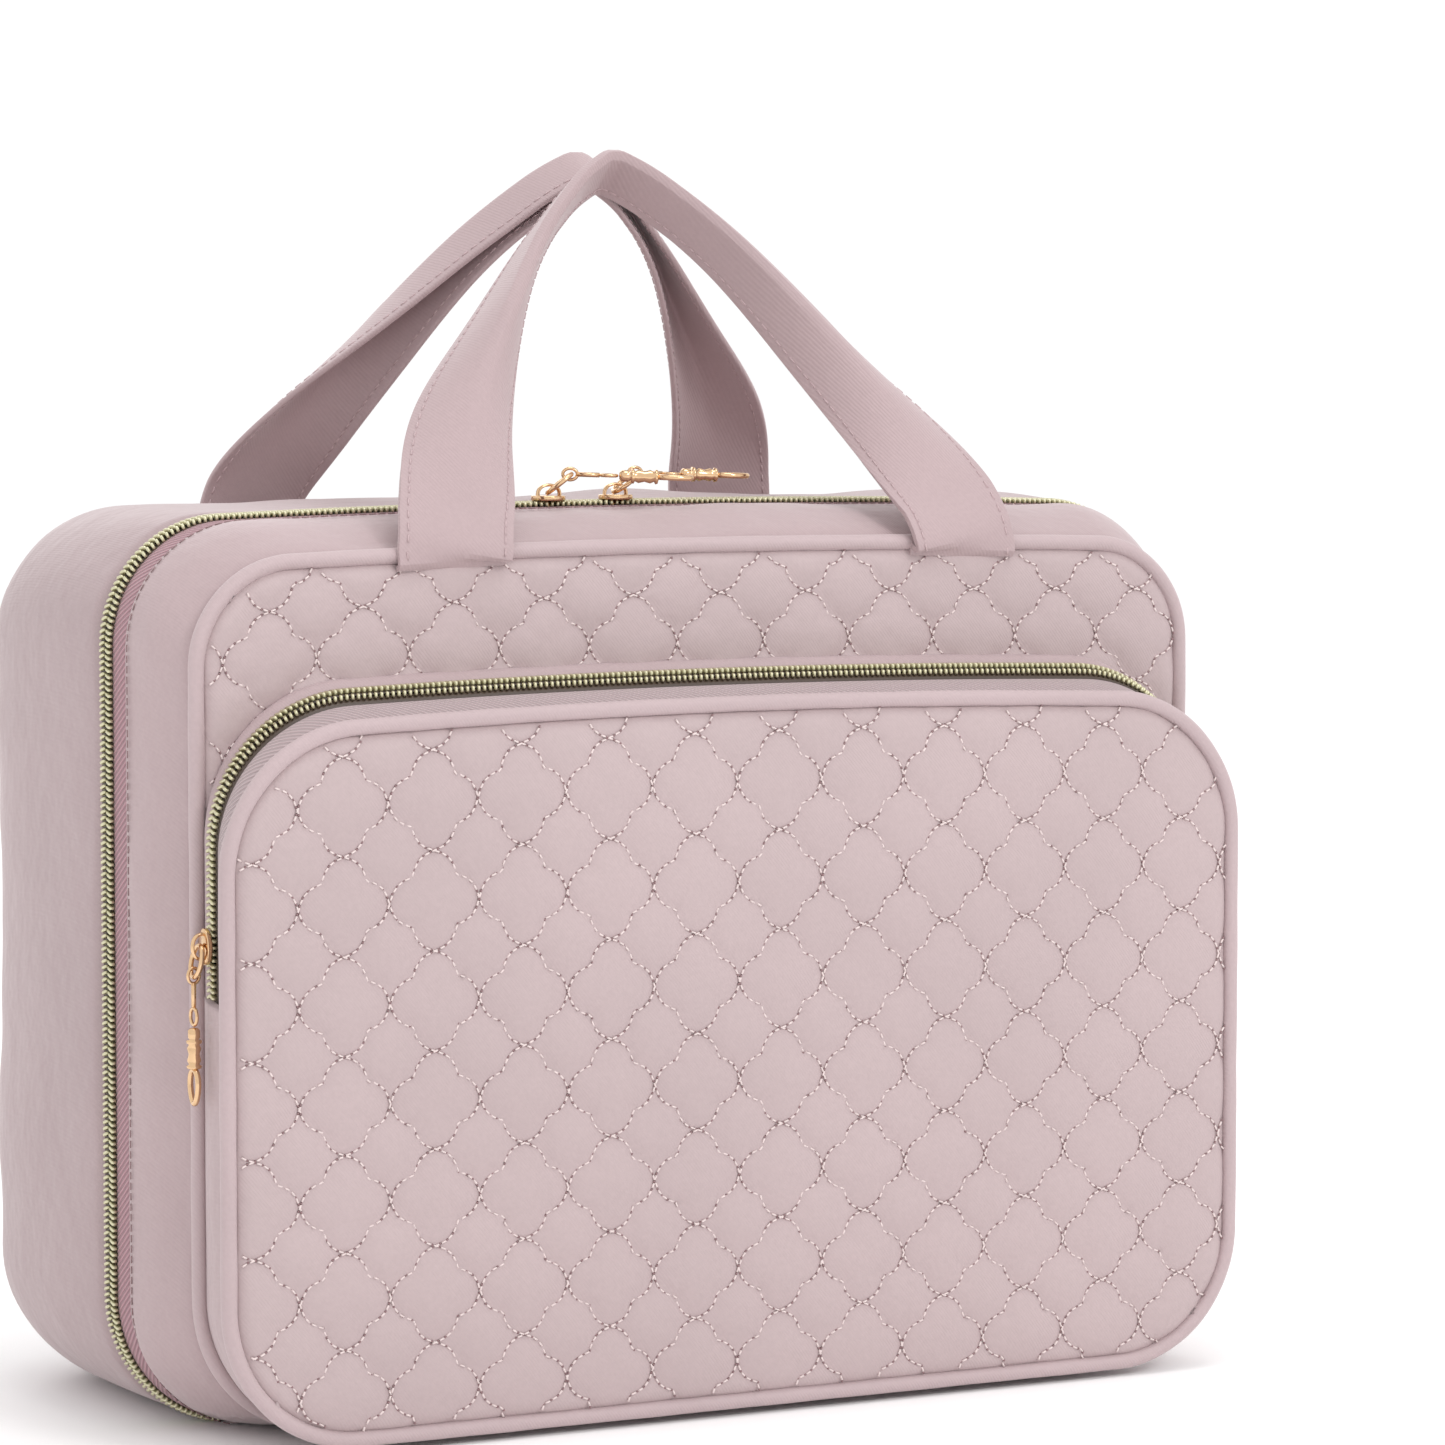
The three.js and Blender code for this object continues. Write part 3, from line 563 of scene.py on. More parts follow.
class Quilt:
    """A quilted panel: its outline, plane and the lattice of its seams."""

    def __init__(self, size, plane, origin, wide, dome, cover=None):
        self.size, self.plane, self.origin, self.wide, self.dome = size, plane, origin, wide, dome
        self.cover = cover
        self.tall = sizes().quilt_pitch / MM
        self.puff = sizes().quilt_puff / MM

    def lattice(self, x, z):
        u = (x - self.origin[0]) / self.wide
        v = (z - self.origin[1]) / self.tall
        return u + v, u - v

    def crowned(self, x, z):
        half, bottom, top, _, _, crown = self.size
        middle = (top + bottom) / 2
        return z + crown * np.clip((z - middle) / (top - middle), 0, None) * (1 - (x / half) ** 2)

    def hidden(self, x, z):
        """1 where another piece lies flat on the panel and presses its cells down, 0 elsewhere."""
        return np.clip(edge_room(self.cover, x, z, 5.0) / 4, 0, 1) if self.cover else 0.0 * x

    def face(self, x, z):
        """Depth of the quilted face."""
        pressed = self.hidden(x, z)
        room = np.maximum(edge_room(self.size, x, z), 0)
        swell = 1 - np.exp(-room / 5.0)
        full = cell_height(*self.lattice(x, z)) * (1 - pressed)
        low = np.exp(-((room / 2.4) ** 2))
        middle = (self.size[1] + self.size[2]) / 2
        belly = np.clip(1 - (x / self.size[0]) ** 2, 0, 1) * np.clip(1 - ((z - middle) / middle) ** 2, 0, 1)
        out = self.puff * (full * swell - 0.35) + self.dome * belly * (1 - pressed)
        back = 2.3 * low + 1.2 * pressed
        return self.plane - out + back

    def panel(self, name, step=1.25):
        half, bottom, top = self.size[:3]

        def place(u, v):
            x = (2 * u - 1) * (half - 1.2)
            z = bottom + 1.2 + v * (top - bottom - 2.4)
            room = edge_room(self.size, x, z, 1.2)
            r = np.where(z > (top + bottom) / 2, self.size[3], self.size[4])
            cx = np.sign(x) * (half - r)
            cz = np.where(z > (top + bottom) / 2, top - r, bottom + r)
            away = np.hypot(x - cx, z - cz)
            corner = (np.abs(x) > half - r) & (np.abs(z - (top + bottom) / 2) > (top - bottom) / 2 - r)
            pull = np.where(corner & (room < 0), (r - 1.2) / np.maximum(away, 1e-6), 1.0)
            x, z = cx + (x - cx) * pull, cz + (z - cz) * pull
            y = self.face(x, z)
            points = np.stack([x, y, self.crowned(x, z)], 1)
            points[:, 1] += 0.2 * grain(points, 9.0, 3.0)
            return points

        across, along = int(2 * half / step), int((top - bottom) / step)
        return surface(name, across, along, place, (2 * half, top - bottom))

    def seams(self):
        """Every stitch as (centre, direction), evenly spaced along the curved seams."""
        half, bottom, top = self.size[:3]
        reach = int(2 * (half / self.wide + (top - bottom) / self.tall)) + 4
        pitch = sizes().stitch_pitch / MM
        out = []
        for family in (0, 1):
            for k in range(-reach, reach + 1):
                other = np.arange(-reach, reach, 0.02)
                line = seam_line(np.full_like(other, k), other)
                p, q = (line, other) if family == 0 else (other, line)
                x = self.origin[0] + (p + q) / 2 * self.wide
                z = self.origin[1] + (p - q) / 2 * self.tall
                keep = edge_room(self.size, x, z) > -3
                if keep.sum() < 3:
                    continue
                x, z = x[keep], z[keep]
                run = np.concatenate([[0], np.cumsum(np.hypot(np.diff(x), np.diff(z)))])
                at = np.arange(pitch * 0.5, run[-1] - 0.6, pitch)
                for a in at:
                    near = (a - 0.5, a, a + 0.5)
                    ends = [np.array([np.interp(b, run, x), np.interp(b, run, z)]) for b in near]
                    if edge_room(self.size, *ends[1]) > 2.2 and self.hidden(*ends[1]) < 0.5:
                        out.append(ends)
        return out

    def sew(self, name, body=None):
        """Thread and needle holes along the seams, as two pieces; the needle holes are small dark pits whose
        colour is painted shade.
        """
        stitches, holes = [], []
        pitch = sizes().stitch_pitch / MM
        for n, (back, middle, ahead) in enumerate(self.seams()):
            y = float(self.face(*middle))
            z = float(self.crowned(*middle))
            way = np.array([ahead[0] - back[0], 0, ahead[1] - back[1]])
            way /= np.linalg.norm(way)
            jitter = noise.noise(Vector((n * 0.37, 0, 0)))
            y += 0.2 * noise.noise(Vector((middle[0], y, z)) / 9.0 + Vector((3.0, 2.1, 0)))
            centre = np.array([middle[0], y - 0.5, z])
            stitches.append((centre, way + np.array([0, 0.12 * jitter, 0]), (0, -1, 0),
                             (pitch * 0.6, 0.5 + 0.1 * jitter, 0.62)))
            # each hole is a small dark pit, painted shade
            hole = centre + way * pitch * 0.5 + np.array([0, 0.1, 0])
            holes.append((hole, way, (0, -1, 0), (0.9, 0.72, 0.6)))
        return (
            finish(f"{name}_thread", scatter(name, "stitch", stitches), "pale_thread", body),
            finish(f"{name}_needle_hole_shade", scatter(name, "hole", holes), "needle_hole_shade", body),
        )


def quilted_front():
    quilt = Quilt(PANEL, PANEL_Y - 2.0, (-96.6, 203.8), 24.7, 0.8, cover=POCKET_BACK)
    panel = finish("quilted_front", quilt.panel("quilted_front"), "quilted_twill")
    thicken(panel, 2.0)
    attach(panel, "front_half")
    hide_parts("front_panel")
    quilt.sew("front_seams", "front_half")


def quilted_pocket():
    quilt = Quilt(POCKET, POCKET_Y - 1.6, (-88.5, 169.0), 23.8, 2.0)
    panel = finish("quilted_pocket", quilt.panel("quilted_pocket"), "quilted_twill")
    thicken(panel, 2.0)
    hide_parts("pocket_panel_lower", "pocket_panel_upper")
    for piece in (panel, *quilt.sew("pocket_seams")):
        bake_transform(piece)


# ---------------------------------------------------------------- piping
def piping_mesh(name, size, y):
    line, out, run = outline(size, 0, 600)
    radius = sizes().piping / MM / 2

    def place(u, v):
        base, way = sample(line, v), sample(out, v)
        angle = 2 * np.pi * u
        seam = 1 - 0.16 * np.exp(-((((u - 0.62) % 1) / 0.05) ** 2))
        r = radius * seam * (1 + 0.03 * np.sin(v * 190) * np.sin(v * 73))
        x = base[:, 0] + way[:, 0] * r * np.cos(angle)
        z = base[:, 1] + way[:, 1] * r * np.cos(angle)
        return np.stack([x, y - r * 1.04 * np.sin(angle), z], 1)

    return surface(name, 20, 600, place, (16, run), weld=True)


def front_piping():
    mesh = piping_mesh("front_piping_cord", PANEL, PANEL_Y)
    cord = finish("front_piping_cord", mesh, "piping_twill", "front_half")
    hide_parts("front_piping")


def pocket_piping():
    cord = finish("pocket_piping_cord", piping_mesh("pocket_piping_cord", POCKET, POCKET_Y), "piping_twill")
    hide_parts("pocket_piping_lower", "pocket_piping_upper")
    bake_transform(cord)


# ---------------------------------------------------------------- padded body
def creases(points, seed, deep=0.8):
    """Soft dents and drag lines in padded cloth, in millimetres."""
    wide = grain(points * np.array([1, 0.55, 1]), 46.0, seed)
    tight = grain(points * np.array([1, 0.3, 1]), 17.0, seed + 9)
    return deep * (wide + 0.4 * tight)


def back_shell():
    first, last = ZIP_Y + 2.9, 81.0

    def place(u, v):
        depth = np.minimum(u / 0.72, 1)
        y = first + (last - first) * depth
        points = body_point(y, v)
        # the cloth rolls under where it meets the teeth
        lip = np.exp(-(((y - first) / 1.6) ** 2))
        pull = body_point(y, v, -1.6) - points
        points += pull * lip[:, None]
        cap = np.clip((u - 0.72) / 0.28, 0, 1)
        middle = np.array([0, 0, 112.0])
        round_off = 1 - cap
        points[:, 0] = middle[0] + (points[:, 0] - middle[0]) * round_off
        points[:, 2] = middle[2] + (points[:, 2] - middle[2]) * round_off
        points[:, 1] += 2.2 * np.sin(cap * np.pi / 2)
        out = sample(BODY_OUT, v)
        dent = creases(points, 2.0, 1.5) * (1 - lip)
        flat = np.clip(points[:, 2] / 8, 0, 1)
        points[:, 0] += out[:, 0] * dent * round_off * flat
        points[:, 2] += out[:, 1] * dent * round_off * flat
        points[:, 1] += dent * cap
        return points

    mesh = surface("padded_back", 112, 410, place, (200, BODY_LENGTH), weld=True)
    # the back takes the darker copy of the shell colour, painted shade
    shell = finish("padded_back", mesh, "back_twill_painted_shade")
    thicken(shell, 2.6)
    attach(shell, "back_half")
    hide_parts("back_shell")


GUSSET_EDGE = ZIP_Y - 8.2


def front_gusset():
    first, last = PANEL_Y + 0.6, GUSSET_EDGE

    def place(u, v):
        y = first + (last - first) * u
        points = body_point(y, v)
        out = sample(BODY_OUT, v)
        swell = 1.4 * np.sin(np.pi * np.clip(u * 1.04, 0, 1)) - 0.9 * np.exp(-((u / 0.06) ** 2))
        edge = np.exp(-(((1 - u) / 0.05) ** 2))
        lift = swell + creases(points, 5.0, 1.7) * (1 - edge) * np.clip(u * 6, 0, 1) - 0.8 * (1 - u) ** 6
        lift = np.where(points[:, 2] < 6, np.minimum(lift, 0), lift)
        points[:, 0] += out[:, 0] * lift
        points[:, 2] += out[:, 1] * lift
        return points

    mesh = surface("padded_front_side", 30, 520, place, (28, BODY_LENGTH))
    gusset = finish("padded_front_side", mesh, "padded_twill")
    thicken(gusset, 1.6)
    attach(gusset, "front_half")
    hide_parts("front_gusset")
    # a row of top-stitching holds its edge to the tape; its stitches take the dark needle-hole colour, painted
    # shade along the seam
    stitches = along_body(GUSSET_EDGE - 1.3, 0.55, 2.6, lambda tangent, out: (1.8, 0.4, 0.35))
    finish("tape_top_stitch", scatter("tape_top_stitch", "stitch", stitches), "needle_hole_shade", "front_half")


def along_body(y, proud, pitch, shape, skip_under=True):
    """Evenly spaced places round the body at one depth."""
    fine = np.linspace(0, 1, 3000)
    line = body_point(np.full_like(fine, y), fine, proud)
    run = np.concatenate([[0], np.cumsum(np.linalg.norm(np.diff(line, axis=0), axis=1))])
    at = np.arange(0, run[-1] - pitch / 2, pitch)
    v = np.interp(at, run, fine)
    points = body_point(np.full_like(v, y), v, proud)
    out = sample(BODY_OUT, v)
    places = []
    for point, way in zip(points, out):
        if skip_under and point[2] < 20 and abs(point[0]) < 122:
            continue
        tangent = np.array([-way[1], 0, way[0]])
        places.append((point, tangent, (way[0], 0, way[1]), shape(tangent, way)))
    return places


def pocket_shape(y, v, proud=0.0):
    """Points on the pocket's side at depth y, v of the way round."""
    base = sample(POCKET_LINE, v)
    out = sample(POCKET_OUT, v)
    share = (PANEL_Y - 2.4 - y) / (PANEL_Y - 2.4 - POCKET_Y)
    x = base[:, 0] * (1 + share * 3 / 139) + out[:, 0] * proud
    drop = np.clip(share * 10.5 * (base[:, 1] - 95) / 91, 0, None)
    z = base[:, 1] - drop + out[:, 1] * proud
    return np.stack([x, np.broadcast_to(y, x.shape), z], 1)


POCKET_LINE, POCKET_OUT, POCKET_LENGTH = outline(POCKET_BACK, 0, 800)
POCKET_ZIP_END = 111.0


def pocket_sides():
    """The pocket's soft side: whole below the zip, and a narrow strip behind the zip above it."""

    def lower(u, v):
        low = 0.5 * POCKET_TURN
        way = np.where(v < 0.5, v * 2 * low, 1 - (1 - v) * 2 * low)
        y = POCKET_Y + 0.8 + (PANEL_Y - 0.8 - POCKET_Y - 0.8) * u
        points = pocket_shape(y, way % 1)
        out = sample(POCKET_OUT, way % 1)
        lift = 1.2 * np.sin(np.pi * u) + 0.8 * creases(points, 7.0, 1.0) * np.sin(np.pi * u)
        points[:, 0] += out[:, 0] * lift
        points[:, 2] += out[:, 1] * np.where(points[:, 2] < 8, 0, lift)
        return points

    side = finish("pocket_side", surface("pocket_side", 22, 360, lower, (20, 500)), "padded_twill")
    thicken(side, 1.2)
    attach(side, "front_half")
    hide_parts("pocket_gusset")

    def rear(u, v):
        low = POCKET_TURN / 2
        way = low + (1 - 2 * low) * v
        y = POCKET_ZIP_Y + 2.9 + (PANEL_Y - 1.4 - POCKET_ZIP_Y - 2.9) * u
        points = pocket_shape(y, way)
        out = sample(POCKET_OUT, way)
        lift = 0.8 * np.sin(np.pi * u) - 0.5
        points[:, 0] += out[:, 0] * lift
        points[:, 2] += out[:, 1] * lift
        return points

    strip = finish("pocket_rear_strip", surface("pocket_rear_strip", 8, 300, rear, (6, 480)), "padded_twill")
    thicken(strip, 1.0)
    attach(strip, "front_half")


def turn_at(line, height):
    """The share of the way round at which the right side passes a height."""
    right = line[: len(line) // 2]
    return float(np.interp(height, right[:, 1], np.linspace(0, 0.5, len(right))))


POCKET_TURN = 2 * turn_at(POCKET_LINE, POCKET_ZIP_END)


# ---------------------------------------------------------------- zips
TOOTH = (2.5, 0.84, 1.5)  # each tooth's length across the chain, thickness and height


def tooth(places, slant):
    """Leans each tooth's long axis along the chain by `slant`."""
    out = []
    for point, tangent, way, _ in places:
        across = np.array([0, 1, 0]) + np.array(tangent) * slant
        out.append((point, across, way, TOOTH))
    return out


def main_zip():
    pitch = sizes().tooth_pitch / MM
    rows = {
        "back_zip_teeth": (ZIP_Y + 1.25, 0.34, "back_half"),
        "front_zip_teeth": (ZIP_Y - 1.25, -0.34, "front_half"),
    }
    for name, (y, slant, body) in rows.items():
        places = along_body(y, 0.15, pitch, lambda tangent, way: (1, 1, 1))
        row = finish(f"{name}_coil", scatter(name, "tooth", tooth(places, slant)), "gold_coil", body)
        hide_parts(name)
        side = 1 if body == "back_half" else -1

        # a dark strip under the teeth, painted shade that shows in the gaps between them
        def shade_strip(u, v, y=y, side=side):
            return band(y - side * 0.9, y + side * 1.9, -0.75, u, v)

        under = finish(f"{name}_core", surface(name, 2, 500, shade_strip, (4, BODY_LENGTH)), "painted_shade_strip", body)
        thicken(under, 0.4, 0.0)

    def tape(u, v):
        return band(GUSSET_EDGE - 1.5, ZIP_Y - 2.2, None, u, v)

    mesh = surface("front_zip_tape", 8, 600, tape, (7.5, BODY_LENGTH))
    front = finish("front_zip_tape_weave", mesh, "zip_tape")
    thicken(front, 0.5)
    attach(front, "front_half")
    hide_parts("front_zip_tape")

    def back_tape(u, v):
        return band(ZIP_Y + 2.4, ZIP_Y + 5.6, -2.6, u, v)

    mesh = surface("back_zip_tape", 3, 500, back_tape, (4, BODY_LENGTH))
    back = finish("back_zip_tape_weave", mesh, "zip_tape")
    thicken(back, 0.5)
    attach(back, "back_half")
    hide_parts("back_zip_tape")


def open_share():
    """The share of the way round at which the main zip starts under the bag."""
    return 122.0 / BODY_LENGTH


def band(y0, y1, proud, u, v):
    """A strip round the body between the zip's two ends; without `proud` it tucks under the padded side."""
    low = open_share()
    way = low + (1 - 2 * low) * v
    y = y0 + (y1 - y0) * u
    points = body_point(y, way)
    out = sample(BODY_OUT, way)
    lift = np.full_like(u, proud) if proud is not None else -0.75 + 0.35 * u
    points[:, 0] += out[:, 0] * lift
    points[:, 2] += out[:, 1] * lift
    return points


def hinge_strip():
    """One soft strip under the bag that both halves hang on."""

    def place(u, v):
        x = (2 * v - 1) * 121.6
        y = ZIP_Y - 8.4 + 12.2 * u
        z = 0.55 + 0.25 * np.cos(np.pi * (u - 0.68) * 2) + 0 * x
        return np.stack([x, y, z], 1)

    strip = finish("hinge_strip", surface("hinge_strip", 16, 80, place, (12, 243)), "padded_twill")
    thicken(strip, 0.5)
    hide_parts("back_hinge_strip", "front_hinge_strip")
    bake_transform(strip)


def pocket_zip():
    pitch = sizes().tooth_pitch / MM
    low = POCKET_TURN / 2
    rows = {
        "pocket_rear_zip_teeth": (POCKET_ZIP_Y + 1.3, 0.34, "front_half"),
        "pocket_front_zip_teeth": (POCKET_ZIP_Y - 1.3, -0.34, "pocket_flap"),
    }
    for name, (y, slant, body) in rows.items():
        fine = np.linspace(low, 1 - low, 3000)
        line = pocket_shape(y, fine, 0.1)
        run = np.concatenate([[0], np.cumsum(np.linalg.norm(np.diff(line, axis=0), axis=1))])
        way = np.interp(np.arange(pitch, run[-1], pitch), run, fine)
        points, out = pocket_shape(y, way, 0.1), sample(POCKET_OUT, way)
        places = [(p, (-o[1], 0, o[0]), (o[0], 0, o[1]), 1) for p, o in zip(points, out)]
        row = finish(f"{name}_coil", scatter(name, "tooth", tooth(places, slant)), "gold_coil", body)
        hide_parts(name)
        side = 1 if body == "front_half" else -1

        # a dark strip under the teeth, painted shade that shows in the gaps between them
        def shade_strip(u, v, y=y, side=side):
            return pocket_shape(y - side * 0.9 + side * 2.8 * u, low + (1 - 2 * low) * v, -0.8)

        under = finish(f"{name}_core", surface(name, 2, 300, shade_strip, (3, 480)), "painted_shade_strip", body)
        thicken(under, 0.4, 0.0)

    def tape(u, v):
        y = POCKET_Y + 1.6 + (POCKET_ZIP_Y - 2.4 - POCKET_Y - 1.6) * u
        points = pocket_shape(y, low + (1 - 2 * low) * v, 0.0)
        out = sample(POCKET_OUT, low + (1 - 2 * low) * v)
        lift = -0.9 + 0.5 * np.sin(np.pi * u)
        points[:, 0] += out[:, 0] * lift
        points[:, 2] += out[:, 1] * lift
        return points

    front = finish("pocket_zip_tape_weave", surface("pocket_tape", 14, 400, tape, (12, 480)), "pocket_tape")
    thicken(front, 0.5)
    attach(front, "pocket_flap")
    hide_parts("pocket_front_zip_tape")

    def rear(u, v):
        return pocket_shape(POCKET_ZIP_Y + 0.8 + 2.1 * u, low + (1 - 2 * low) * v, -1.5)

    back = finish("pocket_rear_tape_weave", surface("pocket_rear_tape", 3, 400, rear, (3, 480)), "zip_tape")
    thicken(back, 0.4)
    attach(back, "front_half")
    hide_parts("pocket_rear_zip_tape")


# ---------------------------------------------------------------- handles
LEAN = math.radians(34)
# half of a handle, from its foot to its peak: distance from the middle, and height along its lean
ARCH = ((72, 0), (69.5, 20), (60, 44), (44.5, 70.5), (28, 95.5), (13, 112.5), (3.5, 120), (0, 121))
# each foot's sewn end before the arch begins: x, depth and height from the seam
FRONT_SEWN = ((72.5, 8.4, 0.8), (72.3, 6.0, 5.6))
BACK_SEWN = ((72.5, 1.6, -27.4), (72.4, 3.4, -15.4), (72.2, 5.8, -7.4), (71.8, 8.6, 0.6))
FOLD_FROM, FOLD_OVER = 12, 76  # height at which a strap starts to fold, and the rise to fully folded
FRONT_FOOT = (-63.6, 213.4)
BACK_FOOT = (84.4, 213.4)


def smooth_run(points, count):
    """A smooth curve through points, resampled evenly."""
    t = np.arange(len(points))
    fine = np.linspace(0, len(points) - 1, 400)
    i = np.clip(fine.astype(int), 0, len(points) - 2)
    s = (fine - i)[:, None]
    slope = np.gradient(points, axis=0)
    dense = (
        points[i] * (2 * s**3 - 3 * s**2 + 1)
        + slope[i] * (s**3 - 2 * s**2 + s)
        + points[i + 1] * (-2 * s**3 + 3 * s**2)
        + slope[i + 1] * (s**3 - s**2)
    )
    run = np.concatenate([[0], np.cumsum(np.linalg.norm(np.diff(dense, axis=0), axis=1))])
    at = np.linspace(0, run[-1], count)
    return np.stack([np.interp(at, run, dense[:, n]) for n in range(points.shape[1])], 1), run[-1]


def handle_path(foot, turn):
    """The strap's middle line over the whole arch, with its fold angle: 90 degrees is flat, 0 is shut."""
    y0, z0 = foot
    half = list(FRONT_SEWN if turn > 0 else BACK_SEWN)
    for x, rise in ARCH[1:]:
        off = 3.2 * math.exp(-((rise / 9) ** 2))
        y = rise * math.sin(LEAN) + off * math.cos(LEAN)
        half.append((x, y, rise * math.cos(LEAN) - off * math.sin(LEAN)))
    other = [(-x, y, z) for x, y, z in half[-2::-1]]
    line, run = smooth_run(np.array(half + other, float), 241)
    line[:, 1] = y0 + line[:, 1] if turn > 0 else y0 - line[:, 1]
    line[:, 0] *= turn
    line[:, 2] += z0
    rise = line[:, 2] - z0
    shut = np.clip((rise - FOLD_FROM) / FOLD_OVER, 0, 1)
    fold = math.radians(90) * (1 - shut**1.15 * (1.9 - 0.9 * shut)) + math.radians(5)
    return line, np.clip(fold, math.radians(5), math.radians(90)), run


def handle(name, node, foot, turn, body):
    """A strap that lies flat at its sewn ends and is folded lengthwise along the grip."""
    line, fold, run = handle_path(foot, turn)
    wide = sizes().strap / MM / 2
    crease = np.array([0, -turn * math.cos(LEAN), math.sin(LEAN)])
    ahead = np.gradient(line, axis=0)
    ahead /= np.linalg.norm(ahead, axis=1)[:, None]
    up = crease[None] - ahead * (ahead @ crease)[:, None]
    up /= np.linalg.norm(up, axis=1)[:, None]
    side = np.cross(ahead, up)

    def cross(t, k, reach):
        """A point `reach` out from the crease on half k, t of the way along."""
        a, b, c = sample(line, t), sample(up, t), sample(side, t)
        f = np.interp(t, np.linspace(0, 1, 241), fold)
        top = a + b * (wide / 2 * np.cos(f))[:, None]
        bow = 0.10 * wide * np.sin(np.pi * reach / wide) * np.sin(f * 2)
        down = reach * np.cos(f) - bow
        sideways = k * (reach * np.sin(f) + 0.9 * np.cos(f))
        return top - b * down[:, None] + c * sideways[:, None]

    def place(u, v):
        across = (2 * u - 1) * wide
        k = np.where(across < 0, -1.0, 1.0)
        k = np.where(np.abs(across) < 1e-6, 0.0, k)
        points = cross(v, k, np.abs(across))
        return points

    mesh = surface(name, 24, 240, place, (2 * wide, run))
    strap = finish(name, mesh, "strap_twill")
    thicken(strap, 1.5, 0.0)
    round_edges = strap.modifiers.new("round", "BEVEL")
    round_edges.width = 0.5 * MM
    round_edges.segments = 2
    round_edges.limit_method = "ANGLE"
    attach(strap, body)
    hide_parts(node)

    stitches = []
    for k in (-1.0, 1.0):
        at = np.arange(2.0, run - 2, 2.9) / run
        reach = np.full_like(at, wide - 2.2)
        kk = np.full_like(at, k)
        middle, next_one = cross(at, kk, reach), cross(np.minimum(at + 0.004, 1), kk, reach)
        inner = cross(at, kk, reach - 1)
        for m, n, i in zip(middle, next_one, inner):
            along = n - m
            flat = m - i
            normal = np.cross(along, flat)
            normal /= np.linalg.norm(normal)
            for face in (-1, 1):
                stitches.append((m + normal * face * 0.82, along, normal * face, (2.0, 0.5, 0.4)))
    finish(f"{name}_top_stitch", scatter(name, "stitch", stitches), "strap_thread", body)
    return strap


# ---------------------------------------------------------------- pulls
def oval_wire(long, wide, wire, matrix, name, steps=56, around=12, point=0.0):
    """A closed wire loop: an oval in local X and Y, drawn to a point at its far end by `point`."""

    def place(u, v):
        a, b = 2 * np.pi * v, 2 * np.pi * u
        taper = 1 - point * np.clip(np.cos(a), -1, 1)
        cx, cy = (long - wire) / 2 * np.cos(a), (wide - wire) / 2 * np.sin(a) * taper
        nx, ny = np.cos(a) / (long - wire), np.sin(a) / (wide - wire)
        scale = np.hypot(nx, ny)
        nx, ny = nx / scale, ny / scale
        r = wire / 2
        return np.stack([cx + nx * r * np.cos(b), cy + ny * r * np.cos(b), r * np.sin(b)], 1)

    mesh = surface(name, around, steps, place, weld=True)
    mesh.transform(in_metres(matrix))
    return mesh


def in_metres(matrix):
    out = matrix.copy()
    out.translation = matrix.translation * MM
    return out


def turned(name, outline_points, matrix, steps=24):
    """A solid of revolution about local X from (along, radius) points, spun by bmesh."""
    bm = bmesh.new()
    verts = [bm.verts.new((x * MM, 0, r * MM)) for x, r in outline_points]
    edges = [bm.edges.new(pair) for pair in zip(verts, verts[1:])]
    bmesh.ops.spin(bm, geom=verts + edges, cent=(0, 0, 0), axis=(1, 0, 0), angle=2 * math.pi, steps=steps,
                   use_merge=True)
    bmesh.ops.remove_doubles(bm, verts=bm.verts, dist=1e-6)
    bmesh.ops.recalc_face_normals(bm, faces=bm.faces)
    mesh = bpy.data.meshes.new(name)
    bm.to_mesh(mesh)
    bm.free()
    mesh.transform(in_metres(matrix))
    return mesh


def slider_mesh(name, matrix, long=9.0, wide=8.0):
    """A shield-shaped slider with two wings and a neck; its arched bridge is made by bridge_mesh."""
    bm = bmesh.new()
    for low, high, width in ((1.25, 2.5, wide), (-3.4, -2.6, wide - 1)):
        made = bmesh.ops.create_circle(bm, cap_ends=True, segments=28, radius=1)
        for vert in made["verts"]:
            x, y = vert.co.x, vert.co.y
            narrow = 1 - 0.28 * max(x, 0) ** 2
            vert.co = Vector((x * long / 2, math.copysign(abs(y) ** 0.8, y) * width / 2 * narrow, low))
        face = made["verts"][0].link_faces[0]
        up = bmesh.ops.extrude_face_region(bm, geom=[face])
        for item in up["geom"]:
            if isinstance(item, bmesh.types.BMVert):
                item.co.z = high
    bmesh.ops.bevel(bm, geom=bm.edges[:], affect="EDGES", offset=0.28, segments=2, profile=0.5, material=-1)
    for size, centre in (((2.5, 0.4, 4.8), (0.25, 0, -0.5)),):
        made = bmesh.ops.create_cube(bm, size=1)
        for vert in made["verts"]:
            vert.co = Vector([vert.co[n] * size[n] + centre[n] for n in range(3)])
    bmesh.ops.scale(bm, vec=(MM, MM, MM), verts=bm.verts)
    bmesh.ops.recalc_face_normals(bm, faces=bm.faces)
    mesh = bpy.data.meshes.new(name)
    bm.to_mesh(mesh)
    bm.free()
    mesh.transform(in_metres(matrix))
    return mesh


def bridge_mesh(name, matrix):
    """The arch on top of a slider that holds the pull's ring."""

    def place(u, v):
        a = np.pi * v
        b = 2 * np.pi * u
        x, z = 3.1 * np.cos(a), 2.3 + 2.9 * np.sin(a) ** 0.7
        rx, rz = 0.42 * np.cos(b), 0.85 * np.sin(b)
        return np.stack([x + rx * np.cos(a), rz, z + rx * np.sin(a)], 1)

    mesh = surface(name, 10, 20, place, weld=True)
    mesh.transform(in_metres(matrix))
    return mesh


